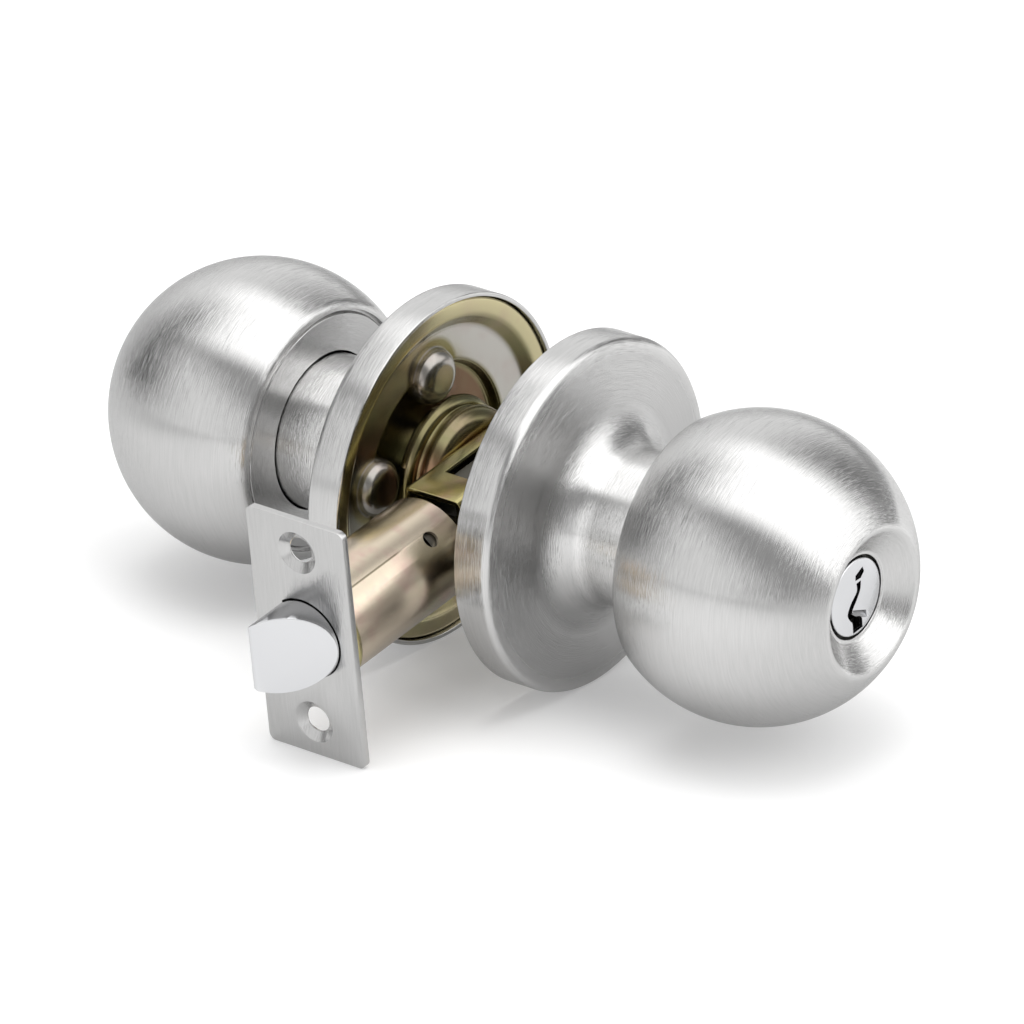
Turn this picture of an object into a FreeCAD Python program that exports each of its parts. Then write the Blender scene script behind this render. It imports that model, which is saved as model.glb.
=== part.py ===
"""Cylindrical knob lockset: two ball knobs, their roses, the chassis between them and a spring latch.

Frame: the origin is where the knob axis crosses the latch axis, in the middle of the door.
+X runs along the knobs to the keyed outside knob, -Y along the latch to its faceplate, +Z is up.
Every size is in millimetres and lives in the sheet "Sizes".
"""
import FreeCAD
import Part
import Sketcher
import math
import os
from types import SimpleNamespace

SIZES = [
    # the door preparation that the lock fits
    ("door_gap", 31.0), ("backset", 70.0),
    # roses
    ("rose_radius", 39.0), ("rose_depth", 8.5), ("rose_wall", 1.0), ("rose_crown", 1.6),
    ("edge_round", 1.6),
    ("flare_radius", 9.0), ("neck_radius", 17.3), ("neck_entry", 3.5),
    # mounting plates inside the roses
    ("plate_wall", 1.0), ("plate_inset", 0.8), ("plate_rim_width", 3.9), ("plateau_depth", 2.5),
    ("plateau_radius", 31.2), ("recess_depth", 2.4), ("recess_radius", 23.0), ("plate_lip", 4.7),
    ("boss_radius", 6.4), ("boss_height", 5.6), ("boss_round", 3.4), ("boss_circle", 21.6),
    ("high_boss_angle", 87.0), ("low_boss_angle", 165.5),
    # ball knobs
    ("ball_radius", 33.5), ("ball_wall", 1.2), ("ball_stand", 50.8), ("back_plane", 17.7),
    ("front_rim", 16.0), ("dish_depth", 4.9), ("dish_floor", 9.95), ("plug_hole", 9.25),
    ("button_hole", 6.4),
    ("back_lip", 2.0), ("back_step", 0.35), ("back_overlap", 1.0), ("collar_depth", 6.0),
    ("web_plane", 7.2), ("web_wall", 1.2), ("web_hole", 9.0),
    # sleeves, spindles and hubs on the knob axis
    ("sleeve_wall", 2.2), ("sleeve_gap", 1.0), ("spindle_radius", 8.0), ("spindle_wall", 1.6),
    ("spindle_gap", 3.6), ("lug_radius", 9.2), ("lug_width", 3.0), ("lug_plane", 2.7),
    ("lug_length", 3.4), ("lug_overlap", 0.5),
    ("hub_radius", 15.4), ("hub_round", 4.0), ("hub_groove", 1.1), ("hub_ring", 16.6),
    ("hub_ring_width", 4.0), ("hub_tube", 10.5), ("hub_end", 26.0), ("catch_width", 4.0),
    ("catch_length", 6.0), ("catch_place", 31.0),
    ("catch_wall", 0.6),
    # chassis frame, retractor and its springs
    ("frame_width", 14.8), ("frame_height", 22.6), ("frame_wall", 1.2), ("frame_fold", 1.5),
    ("frame_front", 25.0), ("frame_back", 25.0), ("window_width", 6.6), ("window_front", 16.0),
    ("window_back", 14.0),
    ("tongue_height", 9.0), ("tongue_grip", 5.0), ("keeper_wall", 1.1), ("peg_length", 2.0),
    ("jaw_depth", 1.9), ("rail_height", 3.2),
    ("mid_width", 4.8), ("block_back", 11.5), ("block_front", 1.8), ("relief_radius", 9.9),
    ("pocket_radius", 2.35), ("pocket_floor", 4.0), ("pocket_height", 6.3), ("pocket_offset", 3.3),
    ("axis_notch", 3.2), ("axis_notch_depth", 1.1),
    # latch
    ("latch_travel", 12.0), ("face_width", 25.4), ("face_height", 57.15), ("face_wall", 1.6),
    ("face_corner", 1.6), ("screw_spacing", 41.3), ("screw_hole", 2.75), ("screw_sink", 4.75),
    ("sink_depth", 1.1), ("tube_radius", 11.7), ("tube_wall", 1.0), ("tube_end", 28.0),
    ("collar_lip", 1.1), ("collar_wall", 1.5),
    ("side_hole", 1.85), ("side_hole_place", 36.2), ("side_hole_angle", 43.0),
    ("bolt_radius", 9.0), ("bolt_flat", 5.1), ("bolt_tip", 0.8), ("bolt_slope_end", 0.6),
    ("bolt_tail", 12.1),
    ("cap_wall", 3.0), ("bar_width", 1.6), ("bar_height", 6.0), ("head_height", 12.0), ("head_depth", 1.8),
    ("head_place", 17.3),
    ("pin_radius", 1.0), ("pin_place", 59.0), ("bar_start", 61.0),
    # key cylinder
    ("barrel_radius", 10.0), ("plug_radius", 6.4), ("plug_head", 8.6), ("plug_head_depth", 2.1),
    ("plug_proud", 0.1), ("plug_end", 0.8), ("plug_chamber_start", 0.8), ("keyway_length", 22.0),
    ("mark_depth", 1.2), ("chimney_width", 7.0), ("chimney_top", 17.0), ("barrel_back", 5.7),
    ("chamber_radius", 1.45),
    ("chamber_pitch", 4.2), ("chamber_place", 18.5), ("pin_tip", 2.0), ("shear_top", 6.1),
    ("shear_bottom", 6.6), ("driver_top", 11.5), ("cover_wall", 0.6), ("clip_radius", 7.8),
    ("clip_wall", 1.0),
    ("groove_depth", 1.2), ("blade_width", 4.0), ("blade_wall", 1.6), ("blade_end", 4.0),
    # push button
    ("button_radius", 6.0), ("button_stand", 5.6), ("button_length", 15.0), ("button_round", 1.5),
    ("stem_radius", 1.8), ("stem_end", 9.0), ("plunger_place", 13.0), ("plunger_width", 2.0),
    ("guide_wall", 1.9), ("guide_back", 5.0), ("guide_floor", 1.2),
    # springs
    ("bolt_coil", 7.0), ("bolt_wire", 0.5), ("bolt_turns", 6.0),
    ("slide_coil", 1.75), ("slide_wire", 0.3), ("slide_turns", 9.0),
    ("button_coil", 3.8), ("button_wire", 0.35), ("button_turns", 5.0),
    ("pin_coil", 1.0), ("pin_wire", 0.2), ("pin_turns", 4.0),
    # clearances between mating pieces
    ("running", 0.06), ("seat", 0.25), ("slack", 0.3), ("neck_gap", 0.4),
    # how far a cutting tool runs past the piece it cuts
    ("overrun", 1.0),
]

# levels of the keyway from the top down: height, left edge and right edge, seen from outside
KEYWAY = [
    ("top", 3.1, 0.4, 2.0), ("step", 1.2, 0.3, 1.6), ("waist", -0.6, -1.95, 0.2),
    ("belly", -2.6, -3.35, -1.65), ("throat", -4.3, -2.7, -0.6), ("heel", -5.4, -1.85, 0.8),
    ("foot", -7.6, -1.9, 1.0),
]
# corners of the shallow mark over the keyway: place across and height
MARK = [
    ("crest", 2.9, 6.0), ("cheek", 3.3, 4.7), ("chin", 2.0, 3.7), ("corner", 0.1, 3.9), ("brow", 0.3, 5.1),
]
for level, height, left, right in KEYWAY:
    SIZES += [(f"keyway_{level}", height), (f"keyway_{level}_left", left), (f"keyway_{level}_right", right)]
for corner, across, height in MARK:
    SIZES += [(f"mark_{corner}_across", across), (f"mark_{corner}", height)]


class Formula:
    """A size with its number and the sheet expression that gives it."""

    def __init__(self, value, text):
        self.value = value
        self.text = text

    def __add__(self, other):
        other = formula(other)
        return Formula(self.value + other.value, f"({self.text} + {other.text})")

    def __sub__(self, other):
        other = formula(other)
        return Formula(self.value - other.value, f"({self.text} - {other.text})")

    def __rsub__(self, other):
        return formula(other) - self

    def __neg__(self):
        return Formula(-self.value, f"(0 - {self.text})")

    def __mul__(self, other):
        other = formula(other)
        return Formula(self.value * other.value, f"({self.text} * {other.text})")

    def __truediv__(self, other):
        other = formula(other)
        return Formula(self.value / other.value, f"({self.text} / {other.text})")

    __radd__ = __add__
    __rmul__ = __mul__


def formula(size):
    """Turn a plain number into a Formula."""
    if isinstance(size, Formula):
        return size
    return Formula(float(size), f"({float(size):.6f})")


def leg(long_side, short_side):
    """Third side of a right triangle, such as a sphere's radius at a distance from its centre."""
    square = long_side * long_side - short_side * short_side
    return Formula(math.sqrt(square.value), f"sqrt({square.text})")


def turn(function, name, angle):
    """Sine or cosine of an angle in degrees."""
    return Formula(function(math.radians(angle.value)), f"{name}({angle.text} * 1 deg)")


doc = FreeCAD.newDocument("Lockset")
sheet = doc.addObject("Spreadsheet::Sheet", "Sizes")
for row, (alias, number) in enumerate(SIZES, start=1):
    sheet.set(f"A{row}", alias)
    sheet.set(f"B{row}", str(number))
    sheet.setAlias(f"B{row}", alias)
doc.recompute()
d = SimpleNamespace(**{alias: Formula(number, f"Sizes.{alias}") for alias, number in SIZES})

# places along the knob axis, measured from the middle of the door
mouth = d.door_gap / 2
face = mouth + d.rose_depth
ball = mouth + d.ball_stand
rear = ball - d.back_plane
rim = ball + leg(d.ball_radius, d.front_rim)
floor = rim - d.dish_depth
floor_back = floor - (leg(d.ball_radius, d.front_rim) - leg(d.ball_radius - d.ball_wall, d.front_rim))
cheek = d.frame_width / 2
sleeve_bore = d.spindle_radius + d.running
sleeve_start = d.hub_end + d.sleeve_gap
plate_face = mouth + d.plate_inset
recess_face = plate_face + d.plateau_depth + d.recess_depth
boss_top = recess_face - d.boss_height
web_back = ball - d.web_plane
groove_front = ball - d.barrel_back - d.running
groove_back = groove_front - d.clip_wall - d.running
plug_back = groove_back - d.plug_end
spindle_end = plug_back - d.spindle_gap

# places along the latch axis, measured towards the faceplate
plate_back = d.backset - d.face_wall
tube_start = plate_back - d.collar_wall
tongue_end = d.tube_end + d.tongue_grip
cap_front = tongue_end + d.slack + d.cap_wall
bolt_shoulder = plate_back - d.slack
bolt_back = bolt_shoulder - d.bolt_tail
jaw_back = d.head_place + d.slack
keeper_front = d.frame_back - d.keeper_wall

nodes = {}


def keep(label, item):
    """Name a finished sub-part, which becomes its node."""
    item.Label = label
    nodes[label] = item


def origin_plane(body, role):
    """One of the three planes of a body's own origin."""
    return next(item for item in body.Origin.OriginFeatures if item.Role == role)


def bend(x, y, centre_x, centre_y):
    """End of a round stretch of an outline, with the centre that it turns about."""
    return (x, y, centre_x, centre_y)


def draw(body, role, steps, name, offset=None):
    """Sketch a closed outline whose corners and arc centres are held by sheet expressions."""
    sketch = body.newObject("Sketcher::SketchObject", name)
    sketch.AttachmentSupport = [(origin_plane(body, role), "")]
    sketch.MapMode = "FlatFace"
    if offset is not None:
        sketch.setExpression(".AttachmentOffset.Base.z", formula(offset).text)
    steps = [tuple(formula(value) for value in step) for step in steps]
    ends = []
    for index, step in enumerate(steps):
        before = steps[index - 1]
        start = FreeCAD.Vector(before[0].value, before[1].value, 0)
        stop = FreeCAD.Vector(step[0].value, step[1].value, 0)
        if len(step) == 2:
            sketch.addGeometry(Part.LineSegment(start, stop), False)
            ends.append((1, 2))
            continue
        centre = FreeCAD.Vector(step[2].value, step[3].value, 0)
        ahead, behind = stop - centre, start - centre
        left_turn = behind.cross(ahead).z > 0
        first, last = (behind, ahead) if left_turn else (ahead, behind)
        circle = Part.Circle(centre, FreeCAD.Vector(0, 0, 1), behind.Length)
        arc = Part.ArcOfCircle(circle, math.atan2(first.y, first.x), math.atan2(last.y, last.x))
        sketch.addGeometry(arc, False)
        ends.append((1, 2) if left_turn else (2, 1))
    for index, step in enumerate(steps):
        following = (index + 1) % len(steps)
        link = ("Coincident", index, ends[index][1], following, ends[following][0])
        sketch.addConstraint(Sketcher.Constraint(*link))
        holds = [("DistanceX", ends[index][1], step[0]), ("DistanceY", ends[index][1], step[1])]
        if len(step) == 4:
            across = abs(step[1].value - step[3].value) > abs(step[0].value - step[2].value)
            holds = [holds[0] if across else holds[1]]
            holds += [("DistanceX", 3, step[2]), ("DistanceY", 3, step[3])]
        for kind, point, size in holds:
            number = sketch.addConstraint(Sketcher.Constraint(kind, -1, 1, index, point, size.value))
            sketch.setExpression(f"Constraints[{number}]", size.text)
    return sketch


def turned_body(name, steps, axis="H_Axis"):
    """Body of revolution about the knob axis, or about the latch axis with V_Axis."""
    body = doc.addObject("PartDesign::Body", name)
    sketch = draw(body, "XY_Plane", steps, name + "_section")
    feature = body.newObject("PartDesign::Revolution", name + "_turning")
    feature.Profile = sketch
    feature.ReferenceAxis = (sketch, [axis])
    feature.Angle = 360.0
    return body


def padded_body(name, role, steps, length, offset):
    """Body with one outline raised along its plane's normal."""
    body = doc.addObject("PartDesign::Body", name)
    sketch = draw(body, role, steps, name + "_outline", offset)
    feature = body.newObject("PartDesign::Pad", name + "_pad")
    feature.Profile = sketch
    feature.setExpression("Length", formula(length).text)
    return body


def rounded_rectangle(half_width, half_height, corner):
    """Outline of a rectangle about the origin with rounded corners."""
    in_x, in_y = half_width - corner, half_height - corner
    return [
        bend(-in_x, half_height, -in_x, in_y),
        (in_x, half_height),
        bend(half_width, in_y, in_x, in_y),
        (half_width, -in_y),
        bend(in_x, -half_height, in_x, -in_y),
        (-in_x, -half_height),
        bend(-half_width, -in_y, -in_x, -in_y),
        (-half_width, in_y),
    ]


def place(item, x, y, z, rotation=None):
    """Turn a primitive and bind its position."""
    if rotation is not None:
        item.Placement = FreeCAD.Placement(FreeCAD.Vector(0, 0, 0), rotation)
    for letter, size in zip("xyz", (x, y, z)):
        item.setExpression(f"Placement.Base.{letter}", formula(size).text)


def box(name, x, y, z):
    """Block between two limits on each axis."""
    item = doc.addObject("Part::Box", name)
    limits = [(formula(low), formula(high)) for low, high in (x, y, z)]
    for property_name, (low, high) in zip(("Length", "Width", "Height"), limits):
        item.setExpression(property_name, (high - low).text)
    place(item, *(low for low, high in limits))
    return item


TOWARDS = {
    "X": FreeCAD.Rotation(FreeCAD.Vector(0, 1, 0), 90),
    "Y": FreeCAD.Rotation(FreeCAD.Vector(1, 0, 0), -90),
    "Z": FreeCAD.Rotation(),
}


def rod(name, axis, radius, low, high, across=(0, 0)):
    """Round bar along an axis between two limits; across gives its place on the other two axes."""
    item = doc.addObject("Part::Cylinder", name)
    item.setExpression("Radius", formula(radius).text)
    item.setExpression("Height", (formula(high) - formula(low)).text)
    first, second = across
    spot = {"X": (low, first, second), "Y": (first, low, second), "Z": (first, second, low)}[axis]
    place(item, *spot, rotation=TOWARDS[axis])
    return item


def cut(name, base, tools):
    """Take several tools away from a base."""
    for index, tool in enumerate(tools):
        item = doc.addObject("Part::Cut", f"{name}_cut_{index}")
        item.Base = base
        item.Tool = tool
        base = item
    return base


def fuse(name, pieces):
    """Join pieces that are one casting or stamping."""
    item = doc.addObject("Part::MultiFuse", name)
    item.Shapes = pieces
    item.Refine = True
    return item


def group(name, pieces):
    """Keep identical loose pieces together as separate solids."""
    item = doc.addObject("Part::Compound", name)
    item.Links = pieces
    return item


def span(side, near, far):
    """Limits on the knob axis of something between two distances from the middle of the door."""
    return (near, far) if side > 0 else (-formula(far), -formula(near))


def spring(name, axis, coil, wire, turns, low, high, across=(0, 0)):
    """Compression spring along an axis between two limits."""
    low, high = formula(low), formula(high)
    spine = doc.addObject("Part::Helix", name + "_helix")
    height = high - low - 2 * wire
    spine.setExpression("Height", height.text)
    spine.setExpression("Pitch", (height / turns).text)
    spine.setExpression("Radius", coil.text)
    section = doc.addObject("Part::RegularPolygon", name + "_wire")
    section.Polygon = 5
    section.setExpression("Circumradius", wire.text)
    section.Placement = FreeCAD.Placement(FreeCAD.Vector(), FreeCAD.Rotation(FreeCAD.Vector(1, 0, 0), 90))
    section.setExpression("Placement.Base.x", coil.text)
    item = doc.addObject("Part::Sweep", name + "_coil")
    item.Sections = [section]
    item.Spine = (spine, [])
    item.Solid = True
    item.Frenet = True
    first, second = across
    start = low + wire
    spot = {"X": (start, first, second), "Y": (first, start, second), "Z": (first, second, start)}[axis]
    place(item, *spot, rotation=TOWARDS[axis])
    return item


def sides():
    """Outside and inside of the door: the label's first word and the direction along +X."""
    return (("outside", 1), ("inside", -1))


def along(side, steps):
    """Set the outline of a turned piece out on its own side of the door."""
    turned = []
    for step in steps:
        values = [formula(value) for value in step]
        if side < 0:
            values[0] = -values[0]
            if len(values) == 4:
                values[2] = -values[2]
        turned.append(tuple(values))
    return turned


def rose(word, side):
    """Drawn rose: straight rim, rounded edge, low crown and a wide flare into its neck."""
    inner = d.rose_radius - d.rose_wall
    edge_x = face - d.edge_round
    edge_y = d.rose_radius - d.edge_round
    crown_x = face + d.rose_crown
    flare_x = crown_x + d.flare_radius
    flare_y = d.neck_radius + d.flare_radius
    neck_end = rear + d.neck_entry
    neck_bore = d.neck_radius - d.rose_wall
    keep(word + "_rose", turned_body(word + "_rose_body", along(side, [
        (mouth, inner),
        (mouth, d.rose_radius),
        (edge_x, d.rose_radius),
        bend(face, edge_y, edge_x, edge_y),
        (crown_x, flare_y),
        bend(flare_x, d.neck_radius, flare_x, flare_y),
        (neck_end, d.neck_radius),
        (neck_end, neck_bore),
        (flare_x, neck_bore),
        bend(crown_x - d.rose_wall, flare_y, flare_x, flare_y),
        (face - d.rose_wall, edge_y),
        bend(edge_x, inner, edge_x, edge_y),
    ])))


def boss_places():
    """Where the mounting plates' bosses stand round the knob axis."""
    angles = (d.high_boss_angle, d.low_boss_angle, d.high_boss_angle + 180, d.low_boss_angle + 180)
    return [(d.boss_circle * turn(math.cos, "cos", angle), d.boss_circle * turn(math.sin, "sin", angle))
            for angle in angles]


def mounting_plate(label, side):
    """Pressed plate in a rose's mouth: rim, plateau, recess and four domed bosses."""
    wall = d.plate_wall
    lip = d.rose_radius - d.rose_wall - d.seat
    rim_inner = lip - d.plate_rim_width
    plateau = plate_face + d.plateau_depth
    bore = d.hub_tube + d.running
    body = turned_body(label + "_body", along(side, [
        (plate_face, lip),
        (plate_face, rim_inner),
        (plateau, d.plateau_radius),
        (plateau, d.recess_radius),
        (recess_face, d.recess_radius - wall / 2),
        (recess_face, bore),
        (recess_face + wall, bore),
        (recess_face + wall, d.recess_radius + wall / 2),
        (plateau + wall, d.recess_radius + wall),
        (plateau + wall, d.plateau_radius + wall),
        (plate_face + wall, rim_inner + wall),
        (plate_face + wall, lip - wall),
        (plate_face + d.plate_lip, lip - wall),
        (plate_face + d.plate_lip, lip),
    ]))
    root, flat = recess_face + wall / 2, d.boss_radius - d.boss_round
    pieces = [body]
    for index, (y, z) in enumerate(boss_places()):
        boss = turned_body(f"{label}_boss_{index}", along(side, [
            (boss_top, 0),
            (boss_top, flat),
            bend(boss_top + d.boss_round, d.boss_radius, boss_top + d.boss_round, flat),
            (root, d.boss_radius),
            (root, 0),
        ]))
        place(boss, 0, y, z)
        pieces.append(boss)
    keep(label, fuse(label + "_pressing", pieces))


def hub(word, side):
    """Hub on the chassis cheek: drum, groove, ring notched round the plate's bosses, bearing tube."""
    round_x = cheek + d.hub_round
    ring_x = round_x + 2 * d.hub_groove
    ring_end = ring_x + d.hub_ring_width
    ring_round = d.hub_ring_width / 2
    ring_top = d.hub_ring - ring_round
    bore = d.spindle_radius + d.running
    body = turned_body(word + "_hub_body", along(side, [
        (cheek, bore),
        (cheek, d.hub_radius - d.hub_round),
        bend(round_x, d.hub_radius, round_x, d.hub_radius - d.hub_round),
        (round_x + d.hub_groove, d.hub_radius - d.hub_groove),
        (ring_x, ring_top),
        bend(ring_x + ring_round, d.hub_ring, ring_x + ring_round, ring_top),
        bend(ring_end, ring_top, ring_x + ring_round, ring_top),
        (ring_end, d.hub_tube),
        (d.hub_end, d.hub_tube),
        (d.hub_end, bore),
    ]))
    notches = [rod(f"{word}_hub_notch_{index}", "X", d.boss_radius + d.slack,
                   *span(side, boss_top - d.slack, ring_end + d.overrun), place_of)
               for index, place_of in enumerate(boss_places())]
    keep(word + "_hub", cut(word + "_hub", body, notches))


def knob_shell(word, side, hole):
    """Ball shell with a dished front, its hole, and a lip curled in round the back."""
    inner = d.ball_radius - d.ball_wall
    back_radius = leg(d.ball_radius, d.back_plane)
    lip_radius = back_radius - d.back_lip
    lip_front = rear + d.ball_wall
    keep(word + "_knob_shell", turned_body(word + "_shell_body", along(side, [
        (rear, lip_radius),
        (rear, back_radius),
        bend(rim, d.front_rim, ball, 0),
        (floor, d.dish_floor),
        (floor, hole),
        (floor_back, hole),
        (floor_back, d.dish_floor),
        (ball + leg(inner, d.front_rim), d.front_rim),
        bend(lip_front, leg(inner, d.back_plane - d.ball_wall), ball, 0),
        (lip_front, lip_radius),
    ])))


def knob_back(word, side):
    """Flat back of a knob, held by the curled lip, with a collar round the rose's neck."""
    lip_radius = leg(d.ball_radius, d.back_plane) - d.back_lip - d.running
    hole = d.neck_radius + d.neck_gap
    flange = rear + d.ball_wall + d.running
    keep(word + "_knob_back", turned_body(word + "_back_body", along(side, [
        (rear + d.back_step, hole),
        (rear + d.back_step, lip_radius),
        (flange, lip_radius),
        (flange, lip_radius + d.back_overlap),
        (flange + d.ball_wall, lip_radius + d.back_overlap),
        (flange + d.ball_wall, hole + d.ball_wall),
        (rear + d.collar_depth, hole + d.ball_wall),
        (rear + d.collar_depth, hole),
    ])))


def knob_sleeve(word, side):
    """Sleeve that slips over the spindle, with the web that carries the ball shell."""
    sleeve_radius = sleeve_bore + d.sleeve_wall
    web_radius = leg(d.ball_radius - d.ball_wall, d.web_plane) - d.running
    web_front = web_back + d.web_wall
    body = turned_body(word + "_sleeve_body", along(side, [
        (sleeve_start, sleeve_bore),
        (sleeve_start, sleeve_radius),
        (web_back, sleeve_radius),
        (web_back, web_radius),
        (web_front, web_radius),
        (web_front, d.web_hole),
        (web_back, d.web_hole),
        (web_back, sleeve_bore),
    ]))
    keep(word + "_knob_sleeve", cut(word + "_sleeve", body, [catch_slot(word + "_sleeve_slot", side)]))


def catch_slot(name, side):
    """Opening for the knob catch through the sleeve and the spindle."""
    low, high = d.catch_place - d.slack, d.catch_place + d.catch_length + d.slack
    half = d.catch_width / 2 + d.slack
    bottom = -sleeve_bore - d.sleeve_wall - d.overrun
    return box(name, span(side, low, high), (-half, half), (bottom, -d.spindle_radius / 2))


def knob_catch(word, side):
    """Sprung catch in the spindle wall that holds the knob's sleeve on."""
    half = d.catch_width / 2
    top = d.spindle_radius - d.spindle_wall
    keep(word + "_knob_catch", fuse(word + "_catch", [
        box(word + "_catch_nose", span(side, d.catch_place, d.catch_place + d.catch_length), (-half, half),
            (-sleeve_bore - d.sleeve_wall + d.slack, 2 * d.catch_wall - top)),
        box(word + "_catch_leaf", span(side, d.catch_place, d.catch_place + 3 * d.catch_length),
            (-half, half), (d.catch_wall - top, 2 * d.catch_wall - top)),
    ]))


def spindle(word, side):
    """Spindle tube with two formed lugs that draw the retractor back."""
    bore = d.spindle_radius - d.spindle_wall
    end = d.lug_plane + d.lug_length
    tube = turned_body(word + "_spindle_body", along(side, [
        (end, bore), (end, d.spindle_radius), (spindle_end, d.spindle_radius), (spindle_end, bore),
    ]))
    half = d.lug_width / 2
    root = d.spindle_radius - d.spindle_wall / 2
    lug_end = end + d.lug_overlap
    lugs = [
        box(word + "_lug_up", span(side, d.lug_plane, lug_end), (-half, half), (root, d.lug_radius)),
        box(word + "_lug_down", span(side, d.lug_plane, lug_end), (-half, half), (-d.lug_radius, -root)),
    ]
    whole = fuse(word + "_spindle_fused", [tube] + lugs)
    keep(word + "_spindle", cut(word + "_spindle", whole, [catch_slot(word + "_spindle_slot", side)]))


def chassis_frame():
    """Folded frame round the retractor, open to the latch, with tongues into the latch tube."""
    wide, high, wall = d.frame_width / 2, d.frame_height / 2, d.frame_wall
    half_window = d.window_width / 2
    half_tongue = d.tongue_height / 2
    past_side, past_top, past_end = wide + d.overrun, high + d.overrun, tongue_end + d.overrun
    outer = padded_body("frame_outer", "XZ_Plane", rounded_rectangle(wide, high, d.frame_fold),
                        d.frame_back + tongue_end, -d.frame_back)
    hollow = rounded_rectangle(wide - wall, high - wall, d.frame_fold - wall)
    inner = padded_body("frame_inner", "XZ_Plane", hollow, d.frame_back + past_end + d.overrun,
                        -d.frame_back - d.overrun)
    beside_tongue = (-past_end, -d.frame_front)
    trims = [
        box("frame_trim_up", (-past_side, past_side), beside_tongue, (half_tongue, past_top)),
        box("frame_trim_down", (-past_side, past_side), beside_tongue, (-past_top, -half_tongue)),
    ]
    window = box("frame_window", (-half_window, half_window), (-d.window_front, d.window_back),
                 (-past_top, past_top))
    bearing = rod("frame_bearing", "X", d.lug_radius + d.slack, -past_side, past_side)
    keep("chassis_frame", cut("frame", outer, [inner, *trims, window, bearing]))


def retractor():
    """Sliding retractor: jaws for the latch bar, rails, and the block that the spindle lugs push."""
    half = d.mid_width / 2
    wide = d.frame_width / 2 - d.frame_wall - d.slack
    high = d.frame_height / 2 - d.frame_wall - d.slack
    jaw_slot = d.bar_height / 2 + d.slack
    rail = high - d.rail_height
    front = -jaw_back - d.jaw_depth
    pieces = []
    for word, sign in (("up", 1), ("down", -1)):
        jaw = (jaw_slot, high) if sign > 0 else (-high, -jaw_slot)
        bar = (rail, high) if sign > 0 else (-high, -rail)
        pieces.append(box("jaw_" + word, (-half, half), (front, -jaw_back), jaw))
        pieces.append(box("rail_" + word, (-half, half), (-jaw_back, d.block_front), bar))
    pieces.append(box("retractor_block", (-wide, half), (d.block_front, d.block_back), (-high, high)))
    pieces.append(box("retractor_back", (half, wide), (d.relief_radius, d.block_back), (-high, high)))
    tools = [box("retractor_notch", (-wide - d.overrun, half + d.overrun),
                 (d.block_front - d.overrun, d.block_front + d.axis_notch_depth),
                 (-d.axis_notch, d.axis_notch))]
    for word, sign in (("up", 1), ("down", -1)):
        tools.append(rod("pocket_" + word, "Y", d.pocket_radius, d.pocket_floor, d.block_back + d.overrun,
                         (-d.pocket_offset, sign * d.pocket_height)))
    keep("retractor", cut("retractor", fuse("retractor_fused", pieces), tools))


def retractor_springs():
    """Two springs between the retractor's pockets and the keeper."""
    coils = []
    for word, sign in (("up", 1), ("down", -1)):
        coils.append(spring("retractor_spring_" + word, "Y", d.slide_coil, d.slide_wire, d.slide_turns,
                            d.pocket_floor, keeper_front, (-d.pocket_offset, sign * d.pocket_height)))
    keep("retractor_springs", group("retractor_spring_pair", coils))


def spring_keeper():
    """Plate across the back of the frame with a peg for each spring."""
    wide = d.frame_width / 2 - d.frame_wall - d.running
    high = d.frame_height / 2 - d.frame_wall - d.running
    outline = rounded_rectangle(wide, high, d.frame_fold - d.frame_wall)
    pieces = [padded_body("keeper_plate", "XZ_Plane", outline, d.keeper_wall, -d.frame_back)]
    for word, sign in (("up", 1), ("down", -1)):
        pieces.append(rod("keeper_peg_" + word, "Y", d.slide_coil - 2 * d.slide_wire,
                          keeper_front - d.peg_length, keeper_front + d.keeper_wall / 2,
                          (-d.pocket_offset, sign * d.pocket_height)))
    keep("spring_keeper", fuse("keeper", pieces))


def latch_faceplate():
    """Faceplate with rounded corners, the hole for the bolt and two countersunk screw holes."""
    outline = rounded_rectangle(d.face_width / 2, d.face_height / 2, d.face_corner)
    body = padded_body("faceplate_body", "XZ_Plane", outline, d.face_wall, plate_back)
    before, behind = -d.backset - d.overrun, d.overrun - plate_back
    past_bolt = d.bolt_radius + d.overrun
    hole = cut("bolt_hole", rod("bolt_hole_round", "Y", d.bolt_radius + d.slack, before, behind), [
        box("bolt_hole_flat", (-past_bolt, -d.bolt_flat - d.slack), (before - d.overrun, behind + d.overrun),
            (-past_bolt, past_bolt)),
    ])
    tools = [hole]
    for word, sign in (("up", 1), ("down", -1)):
        z = sign * (d.screw_spacing / 2)
        tools.append(rod("screw_hole_" + word, "Y", d.screw_hole, before, behind, (0, z)))
        sink = doc.addObject("Part::Cone", "screw_sink_" + word)
        sink.setExpression("Radius1", d.screw_sink.text)
        sink.setExpression("Radius2", d.screw_hole.text)
        sink.setExpression("Height", d.sink_depth.text)
        place(sink, 0, -d.backset, z, TOWARDS["Y"])
        tools.append(sink)
    keep("latch_faceplate", cut("faceplate", body, tools))


def latch_collar():
    """Collar that spreads the tube's end behind the faceplate."""
    bore, edge = d.tube_radius - d.tube_wall, d.tube_radius + d.collar_lip
    keep("latch_collar", turned_body("collar_body", [
        (bore, -plate_back), (edge, -plate_back), (edge, -tube_start), (bore, -tube_start),
    ], "V_Axis"))


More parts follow.
